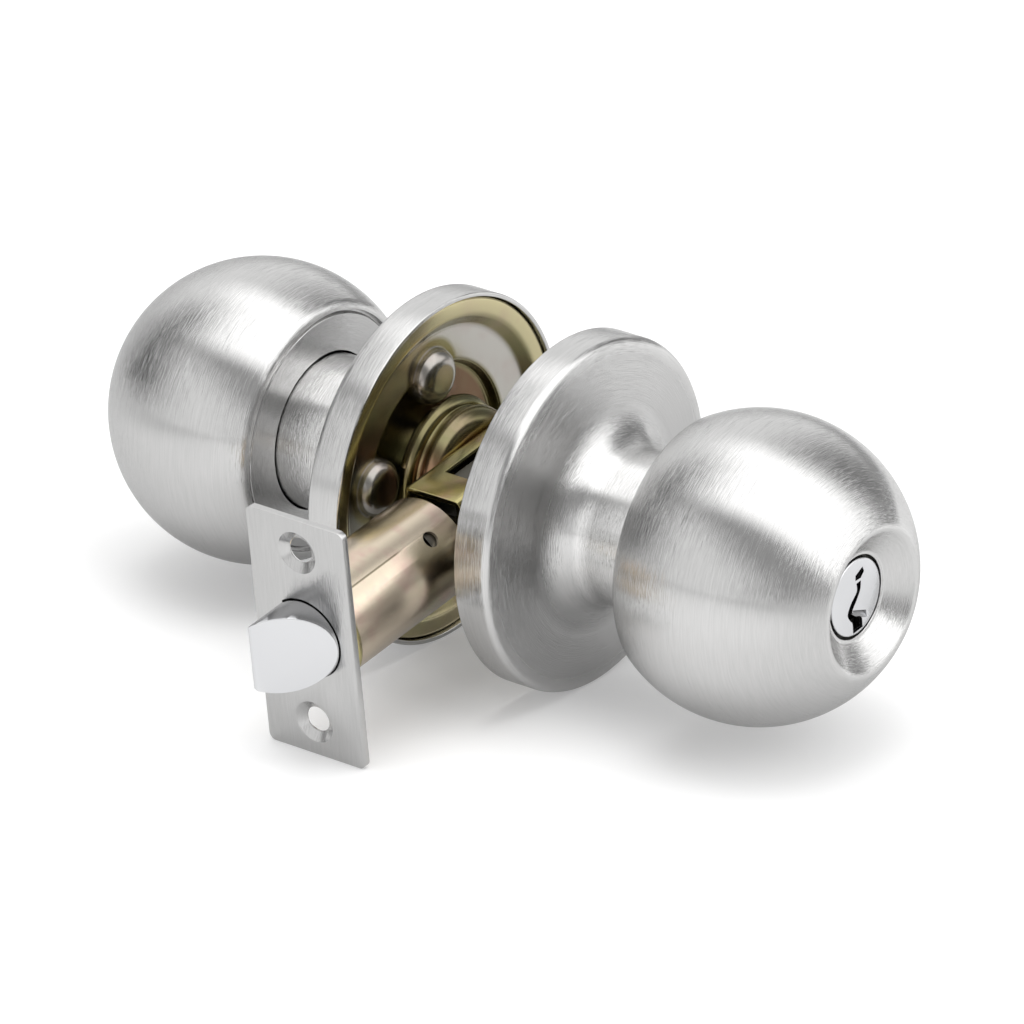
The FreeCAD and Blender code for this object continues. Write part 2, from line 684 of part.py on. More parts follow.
def latch_tube():
    """Tube that holds the bolt, with the two staking holes near its end."""
    bore = d.tube_radius - d.tube_wall
    body = turned_body("tube_body", [
        (bore, -tube_start), (d.tube_radius, -tube_start), (d.tube_radius, -d.tube_end), (bore, -d.tube_end),
    ], "V_Axis")
    drill = doc.addObject("Part::Cylinder", "tube_side_drill")
    drill.setExpression("Radius", d.side_hole.text)
    reach = d.tube_radius + d.overrun
    drill.setExpression("Height", (2 * reach).text)
    lean = FreeCAD.Rotation(FreeCAD.Vector(0, 1, 0), d.side_hole_angle.value)
    place(drill, -(reach * turn(math.sin, "sin", d.side_hole_angle)), -d.side_hole_place,
          -(reach * turn(math.cos, "cos", d.side_hole_angle)), lean)
    drill.setExpression("Placement.Rotation.Angle", f"{d.side_hole_angle.text} * 1 deg")
    keep("latch_tube", cut("tube", body, [drill]))


def tube_end_cap():
    """Bush staked in the end of the tube: the bolt spring's seat, slotted for the bar."""
    radius = d.tube_radius - d.tube_wall - d.running
    disc = rod("cap_disc", "Y", radius, -cap_front, d.cap_wall - cap_front)
    half = d.bar_width / 2 + d.slack
    high = d.bar_height / 2 + d.slack
    slot = box("cap_slot", (-half, half), (-cap_front - d.overrun, d.cap_wall - cap_front + d.overrun),
               (-high, high))
    keep("tube_end_cap", cut("cap", disc, [slot]))


def latch_bolt():
    """Spring bolt: flat-backed nose with its slope, and a round tail that stops it in the tube."""
    tail_radius = d.tube_radius - d.tube_wall - d.slack
    tip = d.backset + d.latch_travel
    past_bolt = d.bolt_radius + d.slack
    past_tail = tail_radius + d.slack
    behind = d.overrun - bolt_back
    round_form = turned_body("bolt_round", [
        (0, -tip), (d.bolt_radius, -tip), (d.bolt_radius, -bolt_shoulder), (tail_radius, -bolt_shoulder),
        (tail_radius, -bolt_back), (0, -bolt_back),
    ], "V_Axis")
    side_form = padded_body("bolt_side", "XY_Plane", [
        (-d.bolt_flat, -tip),
        (d.bolt_tip - d.bolt_flat, -tip),
        (past_bolt, -d.backset - d.bolt_slope_end),
        (past_bolt, -bolt_shoulder),
        (past_tail, -bolt_shoulder),
        (past_tail, behind),
        (-past_tail, behind),
        (-past_tail, -bolt_shoulder),
        (-d.bolt_flat, -bolt_shoulder),
    ], 2 * past_tail, -past_tail)
    bolt = doc.addObject("Part::Common", "bolt_solid")
    bolt.Base = round_form
    bolt.Tool = side_form
    half = d.bar_width / 2 + d.running
    high = d.bar_height / 2 + d.running
    slot = box("bolt_slot", (-half, half), (-d.bar_start - d.running, behind), (-high, high))
    pin_bore = rod("bolt_pin_bore", "X", d.pin_radius + d.running, -past_tail, past_tail, (-d.pin_place, 0))
    keep("latch_bolt", cut("bolt", bolt, [slot, pin_bore]))


def latch_bar():
    """Flat bar from the bolt to its cross head in the retractor's jaws."""
    half = d.bar_width / 2
    bar = box("bar_strip", (-half, half), (-d.bar_start, -d.head_place),
              (-d.bar_height / 2, d.bar_height / 2))
    head = box("bar_head", (-half, half), (-d.head_place, d.head_depth - d.head_place),
               (-d.head_height / 2, d.head_height / 2))
    past = half + d.overrun
    hole = rod("bar_pin_hole", "X", d.pin_radius + d.running, -past, past, (-d.pin_place, 0))
    keep("latch_bar", cut("bar", fuse("bar_whole", [bar, head]), [hole]))


def latch_pin():
    """Cross pin that holds the bar in the bolt."""
    reach = d.bolt_radius - d.pin_radius
    keep("latch_pin", rod("pin", "X", d.pin_radius, -reach, reach, (-d.pin_place, 0)))


def bolt_spring():
    """Spring that throws the bolt, round the bar inside the tube."""
    keep("bolt_spring", spring("bolt_spring", "Y", d.bolt_coil, d.bolt_wire, d.bolt_turns,
                               -bolt_back, -cap_front))


def chamber_places():
    """Distance of each of the five pin chambers along the knob axis."""
    return [ball + d.chamber_place - index * d.chamber_pitch for index in range(5)]


def cylinder_body():
    """Body of the key cylinder: barrel, pin chimney, plug bore and chambers."""
    back, front = ball - d.barrel_back, floor_back - d.seat
    half = d.chimney_width / 2
    pieces = [
        rod("barrel", "X", d.barrel_radius, back, front),
        box("chimney", (back, front), (-half, half), (0, d.chimney_top)),
    ]
    tools = [
        rod("plug_bore", "X", d.plug_radius + d.running, back - d.overrun, front + d.overrun),
        rod("head_bore", "X", d.plug_head + d.running, floor - d.plug_head_depth - d.running,
            front + d.overrun),
    ]
    for index, x in enumerate(chamber_places()):
        tools.append(rod(f"chamber_{index}", "Z", d.chamber_radius, 0, d.chimney_top + d.overrun, (x, 0)))
    keep("cylinder_body", cut("cylinder", fuse("cylinder_fused", pieces), tools))


def cylinder_plug():
    """Plug with its wide head, keyway, pin holes and the groove for its clip."""
    front = floor + d.plug_proud
    head_back = floor - d.plug_head_depth
    neck = d.plug_radius - d.groove_depth
    body = turned_body("plug_body", [
        (plug_back, 0), (plug_back, d.plug_radius), (groove_back, d.plug_radius), (groove_back, neck),
        (groove_front, neck), (groove_front, d.plug_radius), (head_back, d.plug_radius),
        (head_back, d.plug_head), (front, d.plug_head), (front, 0),
    ])
    words = [level for level, *_ in KEYWAY]
    edges = [(getattr(d, f"keyway_{word}_right"), getattr(d, f"keyway_{word}")) for word in words]
    edges += [(getattr(d, f"keyway_{word}_left"), getattr(d, f"keyway_{word}")) for word in reversed(words)]
    keyway = padded_body("keyway_body", "YZ_Plane", edges, d.keyway_length + d.overrun,
                         floor - d.keyway_length)
    corners = [(getattr(d, f"mark_{corner}_across"), getattr(d, f"mark_{corner}")) for corner, *_ in MARK]
    mark = padded_body("mark_body", "YZ_Plane", corners, d.mark_depth + d.overrun, front - d.mark_depth)
    tools = [keyway, mark]
    for index, x in enumerate(chamber_places()):
        tools.append(rod(f"plug_chamber_{index}", "Z", d.chamber_radius, d.plug_chamber_start,
                         d.plug_radius + d.overrun, (x, 0)))
    keep("cylinder_plug", cut("plug", body, tools))


def pins_and_springs():
    """Key pins and driver pins parted at the shear line, their springs, and the strip over them."""
    radius = d.chamber_radius - d.running
    lower, upper, coils = [], [], []
    for index, x in enumerate(chamber_places()):
        lower.append(rod(f"key_pin_{index}", "Z", radius, d.pin_tip, d.shear_top, (x, 0)))
        upper.append(rod(f"driver_pin_{index}", "Z", radius, d.shear_bottom, d.driver_top, (x, 0)))
        coils.append(spring(f"pin_spring_{index}", "Z", d.pin_coil, d.pin_wire, d.pin_turns,
                            d.driver_top, d.chimney_top, (x, 0)))
    keep("key_pins", group("key_pin_set", lower))
    keep("driver_pins", group("driver_pin_set", upper))
    keep("pin_springs", group("pin_spring_set", coils))
    half = d.chimney_width / 2
    keep("pin_cover", box("cover", (ball - d.barrel_back, floor_back - d.seat), (-half, half),
                          (d.chimney_top, d.chimney_top + d.cover_wall)))


def plug_clip():
    """Open ring in the plug's groove behind the barrel."""
    front = ball - d.barrel_back - 1.5 * d.running
    back = front - d.clip_wall
    bore = d.plug_radius - d.groove_depth + d.running
    ring = cut("clip_ring", rod("clip_disc", "X", d.clip_radius, back, front), [
        rod("clip_bore", "X", bore, back - d.overrun, front + d.overrun),
        box("clip_mouth", (back - d.overrun, front + d.overrun), (d.clip_wall - bore, bore - d.clip_wall),
            (-d.clip_radius - d.overrun, 0)),
    ])
    keep("plug_clip", ring)


def tailpiece():
    """Flat blade from the plug through the chassis to the inside knob's lock."""
    keep("tailpiece", box("blade", (-d.blade_end, plug_back - d.running),
                          (-d.blade_width / 2, d.blade_width / 2), (-d.blade_wall / 2, d.blade_wall / 2)))


def push_button():
    """Push button of the inside knob with its stem, plunger, spring and guide."""
    front = floor + d.button_stand
    back = front - d.button_length
    shoulder = front - d.button_round
    keep("push_button", turned_body("button_body", along(-1, [
        (back, 0),
        (back, d.button_radius),
        (shoulder, d.button_radius),
        bend(front, d.button_radius - d.button_round, shoulder, d.button_radius - d.button_round),
        (front, 0),
    ])))
    plunger = d.spindle_radius - d.spindle_wall - d.running
    keep("button_stem", turned_body("stem_body", along(-1, [
        (d.stem_end, 0),
        (d.stem_end, d.stem_radius),
        (d.plunger_place, d.stem_radius),
        (d.plunger_place, plunger),
        (d.plunger_place + d.plunger_width, plunger),
        (d.plunger_place + d.plunger_width, d.stem_radius),
        (back, d.stem_radius),
        (back, 0),
    ])))
    guide_bore = d.button_radius + d.running
    guide_end = ball + d.guide_back
    keep("button_guide", turned_body("guide_body", along(-1, [
        (guide_end, d.stem_radius + d.slack),
        (guide_end, guide_bore + d.guide_wall),
        (floor_back - d.seat, guide_bore + d.guide_wall),
        (floor_back - d.seat, guide_bore),
        (guide_end + d.guide_floor, guide_bore),
        (guide_end + d.guide_floor, d.stem_radius + d.slack),
    ])))
    keep("button_spring", spring("button_spring", "X", d.button_coil, d.button_wire, d.button_turns,
                                 -back, -(guide_end + d.guide_floor)))


for word, side in sides():
    rose(word, side)
    hub(word, side)
    knob_shell(word, side, d.plug_hole if side > 0 else d.button_hole)
    knob_back(word, side)
    knob_sleeve(word, side)
    knob_catch(word, side)
    spindle(word, side)
mounting_plate("outside_rose_liner", 1)
mounting_plate("inside_mounting_plate", -1)
chassis_frame()
retractor()
retractor_springs()
spring_keeper()
latch_faceplate()
latch_collar()
latch_tube()
tube_end_cap()
latch_bolt()
latch_bar()
latch_pin()
bolt_spring()
cylinder_body()
cylinder_plug()
pins_and_springs()
plug_clip()
tailpiece()
push_button()
doc.recompute()

for item in doc.Objects:
    if "Invalid" in item.State or "Error" in item.State:
        raise RuntimeError(f"{item.Label} didn't build: {item.State}")
for label, item in nodes.items():
    if item.Shape.isNull() or not item.Shape.isValid() or not item.Shape.Solids:
        raise RuntimeError(f"{label} has no sound solid")
os.makedirs("parts", exist_ok=True)
for label, item in nodes.items():
    item.Shape.exportStep(f"parts/{label}.step")
print(len(nodes), "sub-parts written")
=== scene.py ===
"""Looks of a cylindrical knob lockset, laid out as a Blender add-on and run as a script.

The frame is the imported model's: +X runs along the knobs to the keyed outside knob, -Y along the latch
to its faceplate and +Z is up. Sizes in the code are in millimetres.
"""

import math

import bmesh
import bpy
from bpy.props import FloatProperty, FloatVectorProperty, IntProperty, PointerProperty
from mathutils import Matrix, Vector


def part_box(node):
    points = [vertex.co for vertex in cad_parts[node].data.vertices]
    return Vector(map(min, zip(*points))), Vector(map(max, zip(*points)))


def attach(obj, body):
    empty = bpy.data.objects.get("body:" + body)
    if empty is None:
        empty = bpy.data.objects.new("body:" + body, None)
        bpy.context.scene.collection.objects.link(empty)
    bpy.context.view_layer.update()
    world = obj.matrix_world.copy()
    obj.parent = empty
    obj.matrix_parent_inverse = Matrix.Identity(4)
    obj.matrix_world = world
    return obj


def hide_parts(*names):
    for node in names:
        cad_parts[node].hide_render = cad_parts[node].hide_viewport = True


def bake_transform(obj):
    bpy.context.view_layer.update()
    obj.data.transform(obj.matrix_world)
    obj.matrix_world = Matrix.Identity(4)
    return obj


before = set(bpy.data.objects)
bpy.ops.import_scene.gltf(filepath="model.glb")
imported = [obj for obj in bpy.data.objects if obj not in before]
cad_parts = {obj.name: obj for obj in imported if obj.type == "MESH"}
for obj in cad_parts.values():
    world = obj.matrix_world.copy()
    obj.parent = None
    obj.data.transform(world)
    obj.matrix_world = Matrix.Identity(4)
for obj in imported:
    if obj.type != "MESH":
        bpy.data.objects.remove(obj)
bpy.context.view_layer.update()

bl_info = {
    "name": "Cylindrical lockset",
    "version": (1, 0, 0),
    "blender": (4, 5, 0),
    "location": "View3D > Sidebar > Lockset",
    "description": "Models and finishes a knob lockset round its packed frame",
    "category": "Object",
}

MM = 0.001
SIDES = (("outside", 1), ("inside", -1))

# places along the knob axis and radii round it that several pieces share
MOUTH = 15.5        # open edge of a rose's rim
FACE = 24.0         # outer edge of a rose's face
NECK_END = 52.1     # end of a rose's neck
RECESS = 21.2       # bottom of a mounting plate's recess
BOSS_TOP = 15.6     # crown of a domed boss
BOSS = 6.4          # radius of a boss
BOSS_CIRCLE = 21.6  # radius of the circle that the bosses stand on
BOSS_ANGLES = (87, 165.5, 267, 345.5)
HUB_BORE = 8.06
FRAME_SIDE, FRAME_TOP, SHEET = 7.4, 11.3, 1.2
BALL = 66.3         # centre of a ball
REAR = 48.6         # open back of a ball
BACK_HOLE = 17.7    # hole of a knob's back, round the neck
DISH = 16           # radius of the dish in a ball's front
DISH_FLOOR = 9.95   # radius of the dish's flat floor
DISH_DEPTH = 4.9
BUTTON_HOLE, PLUG_HOLE = 6.4, 9.25

# places along the latch axis and sizes across it
PLATE_FRONT, PLATE_BACK = -70, -68.4
PLATE_SIDE, PLATE_TOP = 12.7, 28.575
SCREW_HEIGHT = 20.65
TUBE_START, TUBE_END = -66.9, -28
TUBE, TUBE_BORE = 11.7, 10.7
HOLE_LEAN = 43      # degrees from upright to the tube's side hole
SLOPE_TIP, SLOPE_END = (-4.3, -82), (9.1, -70.6)


def millimetres(name, description, value):
    """A length that the sidebar shows, kept in metres."""
    return FloatProperty(name=name, description=description, default=value * MM, subtype="DISTANCE",
                         unit="LENGTH")


def tint(name, description, colour):
    """A colour that the sidebar shows."""
    return FloatVectorProperty(name=name, description=description, default=colour, subtype="COLOR", size=3,
                               min=0.0, max=1.0)


class LocksetSizes(bpy.types.PropertyGroup):
    """Radii and roundings of the parts that show."""
    rose_radius: millimetres("Rose radius", "Outer radius of a rose", 39.0)
    rose_round: millimetres("Rose edge", "Rounding between a rose's rim and its face", 1.6)
    flare_radius: millimetres("Rose flare", "Radius of the flare from the face into the neck", 9.0)
    neck_radius: millimetres("Neck radius", "Radius of a rose's neck", 17.3)
    ball_radius: millimetres("Ball radius", "Radius of a knob's ball", 33.5)
    lip_round: millimetres("Lip rounding", "Rounding of the lip that is curled in round a knob's back", 1.4)
    dish_round: millimetres("Dish rounding", "Rounding between the ball and its dished front", 1.3)


class LocksetFinishes(bpy.types.PropertyGroup):
    """Colours of the metals and of the stage."""
    satin: tint("Satin steel", "Brushed stainless steel of knobs and roses", (0.66, 0.657, 0.652))
    straw: tint("Straw", "Plating of a mounting plate's rim", (0.58, 0.52, 0.31))
    olive: tint("Olive", "Plating on the bends of the plates", (0.28, 0.25, 0.13))
    # painted shade: a darker zinc tone laid on the -Y side of a mounting plate where it lies in shade
    shadow: tint("Painted shade on zinc", "Plating at the left of a mounting plate", (0.30, 0.29, 0.24))
    silver: tint("Silver", "Thin plating on a mounting plate's flat", (0.56, 0.54, 0.50))
    # the recess's umber is partly the plating's copper hue and partly painted shade; the tube's lower part
    # is also darkened with it as painted shade
    umber: tint("Umber", "Plating in a mounting plate's recess", (0.20, 0.125, 0.075))
    gold: tint("Gold", "Plating of the hubs' rolled rings", (0.35, 0.31, 0.145))
    copper: tint("Copper", "Plating of the hubs' drums", (0.34, 0.20, 0.115))
    pink: tint("Pink", "Pink tone in the plating", (0.55, 0.37, 0.33))
    green: tint("Green", "Green tone in the plating", (0.40, 0.46, 0.27))
    pale: tint("Pale zinc", "Plating of the latch tube", (0.82, 0.71, 0.56))
    liner: tint("Liner", "Dull plating of the outside rose's liner", (0.33, 0.33, 0.29))
    chrome: tint("Chrome", "Polished bolt and plug", (0.74, 0.745, 0.76))
    steel: tint("Inner steel", "Plain plated steel inside the lock", (0.50, 0.49, 0.46))
    brass: tint("Brass", "Pins of the key cylinder", (0.66, 0.47, 0.20))
    floor: tint("Floor", "Floor under the lock", (0.55, 0.55, 0.55))


class LocksetStage(bpy.types.PropertyGroup):
    """Camera, light and fineness of turned pieces."""
    lens: FloatProperty(name="Lens", description="Focal length of the camera, in millimetres",
                        default=351.56, min=20.0, max=600.0)
    top_power: FloatProperty(name="Top light", description="Power of the lamp overhead", default=2.5,
                             subtype="POWER", unit="POWER")
    turns: IntProperty(name="Steps round", description="Faces round a turned piece", default=192, min=24,
                       max=256)


def sizes():
    """The sizes that the sidebar shows."""
    return bpy.context.scene.lockset_sizes


def finishes():
    """The colours that the sidebar shows."""
    return bpy.context.scene.lockset_finishes


def stage_settings():
    """Camera, light and fineness of turned pieces."""
    return bpy.context.scene.lockset_stage


def nothing_selected():
    """Leave edit mode and deselect everything."""
    if bpy.context.object and bpy.context.object.mode != "OBJECT":
        bpy.ops.object.mode_set(mode="OBJECT")
    bpy.ops.object.select_all(action="DESELECT")


def only(piece):
    """Select one piece and make it active."""
    nothing_selected()
    piece.select_set(True)
    bpy.context.view_layer.objects.active = piece
    return piece


def smooth(piece, angle=30):
    """Shade a piece smooth, apart from its sharp edges."""
    only(piece)
    bpy.ops.object.shade_smooth_by_angle(angle=math.radians(angle))
    return piece


def face_outwards():
    """Turn all faces of the edited piece outwards and leave edit mode."""
    bpy.ops.mesh.select_all(action="SELECT")
    bpy.ops.mesh.normals_make_consistent(inside=False)
    bpy.ops.object.mode_set(mode="OBJECT")


def name_piece(name):
    """Name the piece that was just added."""
    piece = bpy.context.active_object
    piece.name = name
    piece.data.name = name
    return piece


def line(along, radius, soft=0.0):
    """Straight step of an outline; soft is how far the rounding of its end reaches."""
    return (along, radius, None, soft)


def bend(along, radius, centre_along, centre_radius, soft=0.0):
    """Round step of an outline about a centre."""
    return (along, radius, (centre_along, centre_radius), soft)


def walk(points, start, step, reach):
    """Place on a closed outline at a distance from one of its points, and the last point passed."""
    index, left = start, reach
    while True:
        following = (index + step) % len(points)
        gap = points[following] - points[index]
        if gap.length >= left:
            return points[index] + gap * (left / gap.length), index
        left -= gap.length
        index = following


def bent_points(steps, fineness):
    """Points of an outline with its bends divided, and the corners to round with their reach."""
    points, corners = [], []
    for index, (along, radius, centre, soft) in enumerate(steps):
        stop = Vector((along, radius))
        if centre is not None:
            start = Vector(steps[index - 1][:2])
            middle = Vector(centre)
            first, last = start - middle, stop - middle
            angle = first.angle_signed(last)
            count = max(6, round(abs(angle) * first.length / fineness))
            for part in range(1, count):
                turned = first.copy()
                turned.rotate(Matrix.Rotation(-angle * part / count, 2))
                points.append(middle + turned)
        if soft:
            corners.append((len(points), soft))
        points.append(stop)
    return points, corners


def outline(steps, fineness=0.35, corner_step=0.3):
    """Points of a closed outline, with its bends divided finely and its marked corners rounded."""
    points, corners = bent_points(steps, fineness)
    skip, curves = set(), {}
    for corner, reach in corners:
        before, last_before = walk(points, corner, -1, reach)
        after, last_after = walk(points, corner, 1, reach)
        index = last_before
        while index != (last_after + 1) % len(points):
            skip.add(index)
            index = (index + 1) % len(points)
        count = max(4, round(2 * reach / corner_step))
        shares = [part / count for part in range(count + 1)]
        curves[corner] = [before * (1 - share) ** 2 + points[corner] * 2 * share * (1 - share)
                          + after * share ** 2 for share in shares]
    rounded = []
    for index, point in enumerate(points):
        if index in curves:
            rounded.extend(curves[index])
        elif index not in skip:
            rounded.append(point)
    return rounded


def draw_wire(name, spots, closed=True):
    """Draw an outline by extruding a point from spot to spot; leaves the piece in edit mode."""
    nothing_selected()
    bpy.ops.mesh.primitive_plane_add(size=MM, location=(0, 0, 0))
    piece = name_piece(name)
    bpy.ops.object.mode_set(mode="EDIT")
    bpy.ops.mesh.select_all(action="SELECT")
    bpy.ops.mesh.merge(type="CENTER")
    bpy.ops.transform.translate(value=spots[0])
    for before, after in zip(spots, spots[1:]):
        bpy.ops.mesh.extrude_vertices_move(TRANSFORM_OT_translate={"value": after - before})
    if closed:
        mesh = bmesh.from_edit_mesh(piece.data)
        for vertex in mesh.verts:
            vertex.select = len(vertex.link_edges) == 1
        mesh.select_flush_mode()
        bmesh.update_edit_mesh(piece.data)
        bpy.ops.mesh.edge_face_add()
    return piece


def prism(name, corners, start, stop):
    """Closed outline across the knob axis, given as places across and heights, raised along that axis."""
    piece = draw_wire(name, [Vector((start, *corner)) * MM for corner in corners])
    bpy.ops.mesh.select_all(action="SELECT")
    bpy.ops.mesh.edge_face_add()
    bpy.ops.mesh.extrude_region_move(TRANSFORM_OT_translate={"value": Vector((stop - start, 0, 0)) * MM})
    face_outwards()
    return piece


def flowing(corners, parts=6):
    """Points of a smooth line through several corners."""
    points = [Vector(corner) for corner in corners]
    points = [points[0] * 2 - points[1], *points, points[-1] * 2 - points[-2]]
    line_points = []
    for before, start, stop, after in zip(points, points[1:], points[2:], points[3:]):
        for part in range(parts):
            share = part / parts
            bent = (stop - before) * share + (before * 2 - start * 5 + stop * 4 - after) * share ** 2
            bent += (start * 3 - before - stop * 3 + after) * share ** 3
            line_points.append(start + bent / 2)
    return [*line_points, points[-2]]


def turned_piece(name, steps, side=1, axis="X", steps_round=None, place=(0, 0, 0)):
    """Spin a closed outline round the knob or latch axis and smooth it."""
    points = outline(steps)
    if axis == "X":
        spots = [Vector((side * p.x, 0, p.y)) * MM for p in points]
        spin_axis = (1, 0, 0)
    else:
        spots = [Vector((p.y, side * p.x, 0)) * MM for p in points]
        spin_axis = (0, 1, 0)
    ends = (spots[0], spots[-1])
    on_axis = all((end.yz if axis == "X" else end.xz).length < 1e-7 for end in ends)
    piece = draw_wire(name, spots, closed=not on_axis)
    bpy.ops.mesh.select_all(action="SELECT")
    bpy.ops.mesh.spin(steps=steps_round or stage_settings().turns, angle=math.tau, center=(0, 0, 0),
                      axis=spin_axis)
    bpy.ops.mesh.select_all(action="SELECT")
    bpy.ops.mesh.remove_doubles(threshold=1e-7)
    bpy.ops.mesh.dissolve_degenerate(threshold=1e-8)
    bpy.ops.mesh.select_all(action="SELECT")
    if any(place):
        bpy.ops.transform.translate(value=Vector(place) * MM)
    face_outwards()
    return smooth(piece)


def block(name, low, high):
    """Cube between two corners, with its place in its mesh."""
    nothing_selected()
    low, high = Vector(low) * MM, Vector(high) * MM
    bpy.ops.mesh.primitive_cube_add(size=1, location=(0, 0, 0))
    piece = name_piece(name)
    bpy.ops.object.mode_set(mode="EDIT")
    bpy.ops.mesh.select_all(action="SELECT")
    bpy.ops.transform.resize(value=high - low)
    bpy.ops.transform.translate(value=(low + high) / 2)
    bpy.ops.object.mode_set(mode="OBJECT")
    return piece


def bar(name, radius, start, stop, faces=96):
    """Round bar between two points, with its place in its mesh."""
    nothing_selected()
    start, stop = Vector(start) * MM, Vector(stop) * MM
    along = stop - start
    bpy.ops.mesh.primitive_cone_add(vertices=faces, radius1=radius * MM, radius2=radius * MM,
                                    depth=along.length, location=(0, 0, 0))
    piece = name_piece(name)
    turn = along.to_track_quat("Z", "Y").to_matrix().to_4x4()
    piece.data.transform(Matrix.Translation((start + stop) / 2) @ turn)
    return piece


def apply_modifier(piece, kind, **settings):
    """Add a modifier, give it its settings and apply it."""
    only(piece)
    modifier = piece.modifiers.new(kind.title(), kind)
    for key, value in settings.items():
        setattr(modifier, key, value)
    bpy.ops.object.modifier_apply(modifier=modifier.name)
    return piece


def carve(piece, *tools):
    """Take tools away from a piece and delete them."""
    for tool in tools:
        apply_modifier(piece, "BOOLEAN", object=tool, operation="DIFFERENCE", solver="EXACT")
        bpy.data.objects.remove(tool)
    return piece


def round_folds(piece, direction, width, segments=8):
    """Round the edges of a block that run along one axis: 0 for X, 1 for Y and 2 for Z."""
    only(piece)
    bpy.ops.object.mode_set(mode="EDIT")
    bpy.ops.mesh.select_mode(type="EDGE")
    bpy.ops.mesh.select_all(action="DESELECT")
    mesh = bmesh.from_edit_mesh(piece.data)
    for edge in mesh.edges:
        gap = edge.verts[0].co - edge.verts[1].co
        if abs(gap[direction]) > 0.99 * gap.length:
            edge.select = True
    bmesh.update_edit_mesh(piece.data)
    bpy.ops.mesh.bevel(offset=width * MM, segments=segments, affect="EDGES")
    bpy.ops.mesh.select_mode(type="VERT")
    bpy.ops.object.mode_set(mode="OBJECT")
    return piece


def soften(piece, width, segments=3):
    """Round the sharp edges of a piece and shade it."""
    apply_modifier(piece, "BEVEL", width=width * MM, segments=segments, limit_method="ANGLE",
                   angle_limit=math.radians(40), use_clamp_overlap=True, harden_normals=False)
    return smooth(piece, 35)


def joined(name, pieces):
    """Make several meshes one piece."""
    only(pieces[0])
    for piece in pieces[1:]:
        piece.select_set(True)
    bpy.ops.object.join()
    return name_piece(name)


def fit(piece, body, material, slot, *nodes):
    """Give a finished piece its metal, body and the CAD nodes that it stands for."""
    piece.data.materials.clear()
    piece.data.materials.append(material)
    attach(piece, body)
    if nodes:
        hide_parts(*nodes)
    return piece


class Shade:
    """A number that varies over a surface: arithmetic on it adds Math nodes."""

    def __init__(self, recipe, socket):
        self.recipe = recipe
        self.socket = socket

    def maths(self, operation, *values):
        """Add a Math node."""
        node = self.recipe.node("ShaderNodeMath", {"operation": operation}, *values)
        return Shade(self.recipe, node.outputs[0])

    def __add__(self, other):
        return self.maths("ADD", self, other)

    def __sub__(self, other):
        return self.maths("SUBTRACT", self, other)

    def __rsub__(self, other):
        return self.maths("SUBTRACT", other, self)

    def __mul__(self, other):
        return self.maths("MULTIPLY", self, other)

    __radd__ = __add__
    __rmul__ = __mul__

    def __truediv__(self, other):
        return self.maths("DIVIDE", self, other)

    def __abs__(self):
        return self.maths("ABSOLUTE", self)

    def root(self):
        """Square root."""
        return self.maths("SQRT", self)

    def clamped(self):
        """The number kept from 0 to 1."""
        node = self.recipe.node("ShaderNodeClamp", {}, self, 0.0, 1.0)
        return Shade(self.recipe, node.outputs[0])

    def below(self, limit, blur):
        """1 where the number is under a limit, 0 where it is over, with a soft step."""
        return ((limit - self) / blur + 0.5).clamped()

    def between(self, low, high):
        """1 between two limits, each given with the width of its soft step."""
        return (1 - self.below(*low)) * self.below(*high)


class Recipe:
    """A tree of nodes: a metal's, the floor's or the world's."""

    def __init__(self, tree):
        self.tree = tree

    def node(self, kind, settings, *values, **named):
        """Add a node: its settings first, then the values or links of its sockets."""
        node = self.tree.nodes.new(kind)
        for key, value in settings.items():
            setattr(node, key, value)
        named_pairs = [(node.inputs[key], value) for key, value in named.items()]
        for socket, value in [*zip(node.inputs, values), *named_pairs]:
            self.feed(socket, value)
        return node

    def feed(self, socket, value):
        """Link a socket or set its value."""
        if isinstance(value, Shade):
            value = value.socket
        if isinstance(value, bpy.types.NodeSocket):
            self.tree.links.new(value, socket)
        else:
            socket.default_value = value

    def split(self, vector):
        """The three numbers of a vector."""
        return [Shade(self, socket) for socket in self.node("ShaderNodeSeparateXYZ", {}, vector).outputs]

    def vector(self, x, y, z):
        """Three numbers as a vector."""
        return self.node("ShaderNodeCombineXYZ", {}, x, y, z).outputs[0]

    def noise(self, vector, scale, detail=2.0, roughness=0.5, w=None):
        """Cloudy noise, as a number from 0 to 1."""
        settings, fourth = ({}, {}) if w is None else ({"noise_dimensions": "4D"}, {"W": w})
        node = self.node("ShaderNodeTexNoise", settings, Vector=vector, Scale=scale, Detail=detail,
                         Roughness=roughness, **fourth)
        return Shade(self, node.outputs[0])

    def blend(self, share, first, second):
        """Mix two colours by a number."""
        node = self.node("ShaderNodeMix", {"data_type": "RGBA"})
        self.feed(node.inputs[0], share)
        for socket, colour in ((node.inputs[6], first), (node.inputs[7], second)):
            self.feed(socket, colour if isinstance(colour, bpy.types.NodeSocket) else (*colour, 1))
        return node.outputs[2]

    def bump(self, height, depth, under=None):
        """Raise the surface by a number, up to a depth in millimetres."""
        node = self.node("ShaderNodeBump", {}, Height=height, Strength=1.0, Distance=depth * MM)
        if under is not None:
            self.feed(node.inputs["Normal"], under)
        return node.outputs["Normal"]


class Metal(Recipe):
    """A material that starts as plain metal, with the place on the piece at hand."""

    def __init__(self, name, metallic=1.0):
        self.material = bpy.data.materials.new(name)
        self.material.use_nodes = True
        super().__init__(self.material.node_tree)
        self.shader = self.tree.nodes["Principled BSDF"]
        self.shader.inputs["Metallic"].default_value = metallic
        self.place = self.node("ShaderNodeTexCoord", {}).outputs["Object"]

    def set(self, **values):
        """Feed sockets of the metal's shader."""
        for key, value in values.items():
            self.feed(self.shader.inputs[key.replace("_", " ")], value)

    def parts(self):
        """The three numbers of the place."""
        return self.split(self.place)


def scaled(colour, factor):
    """A colour made lighter or darker."""
    return tuple(min(1.0, part * factor) for part in colour)


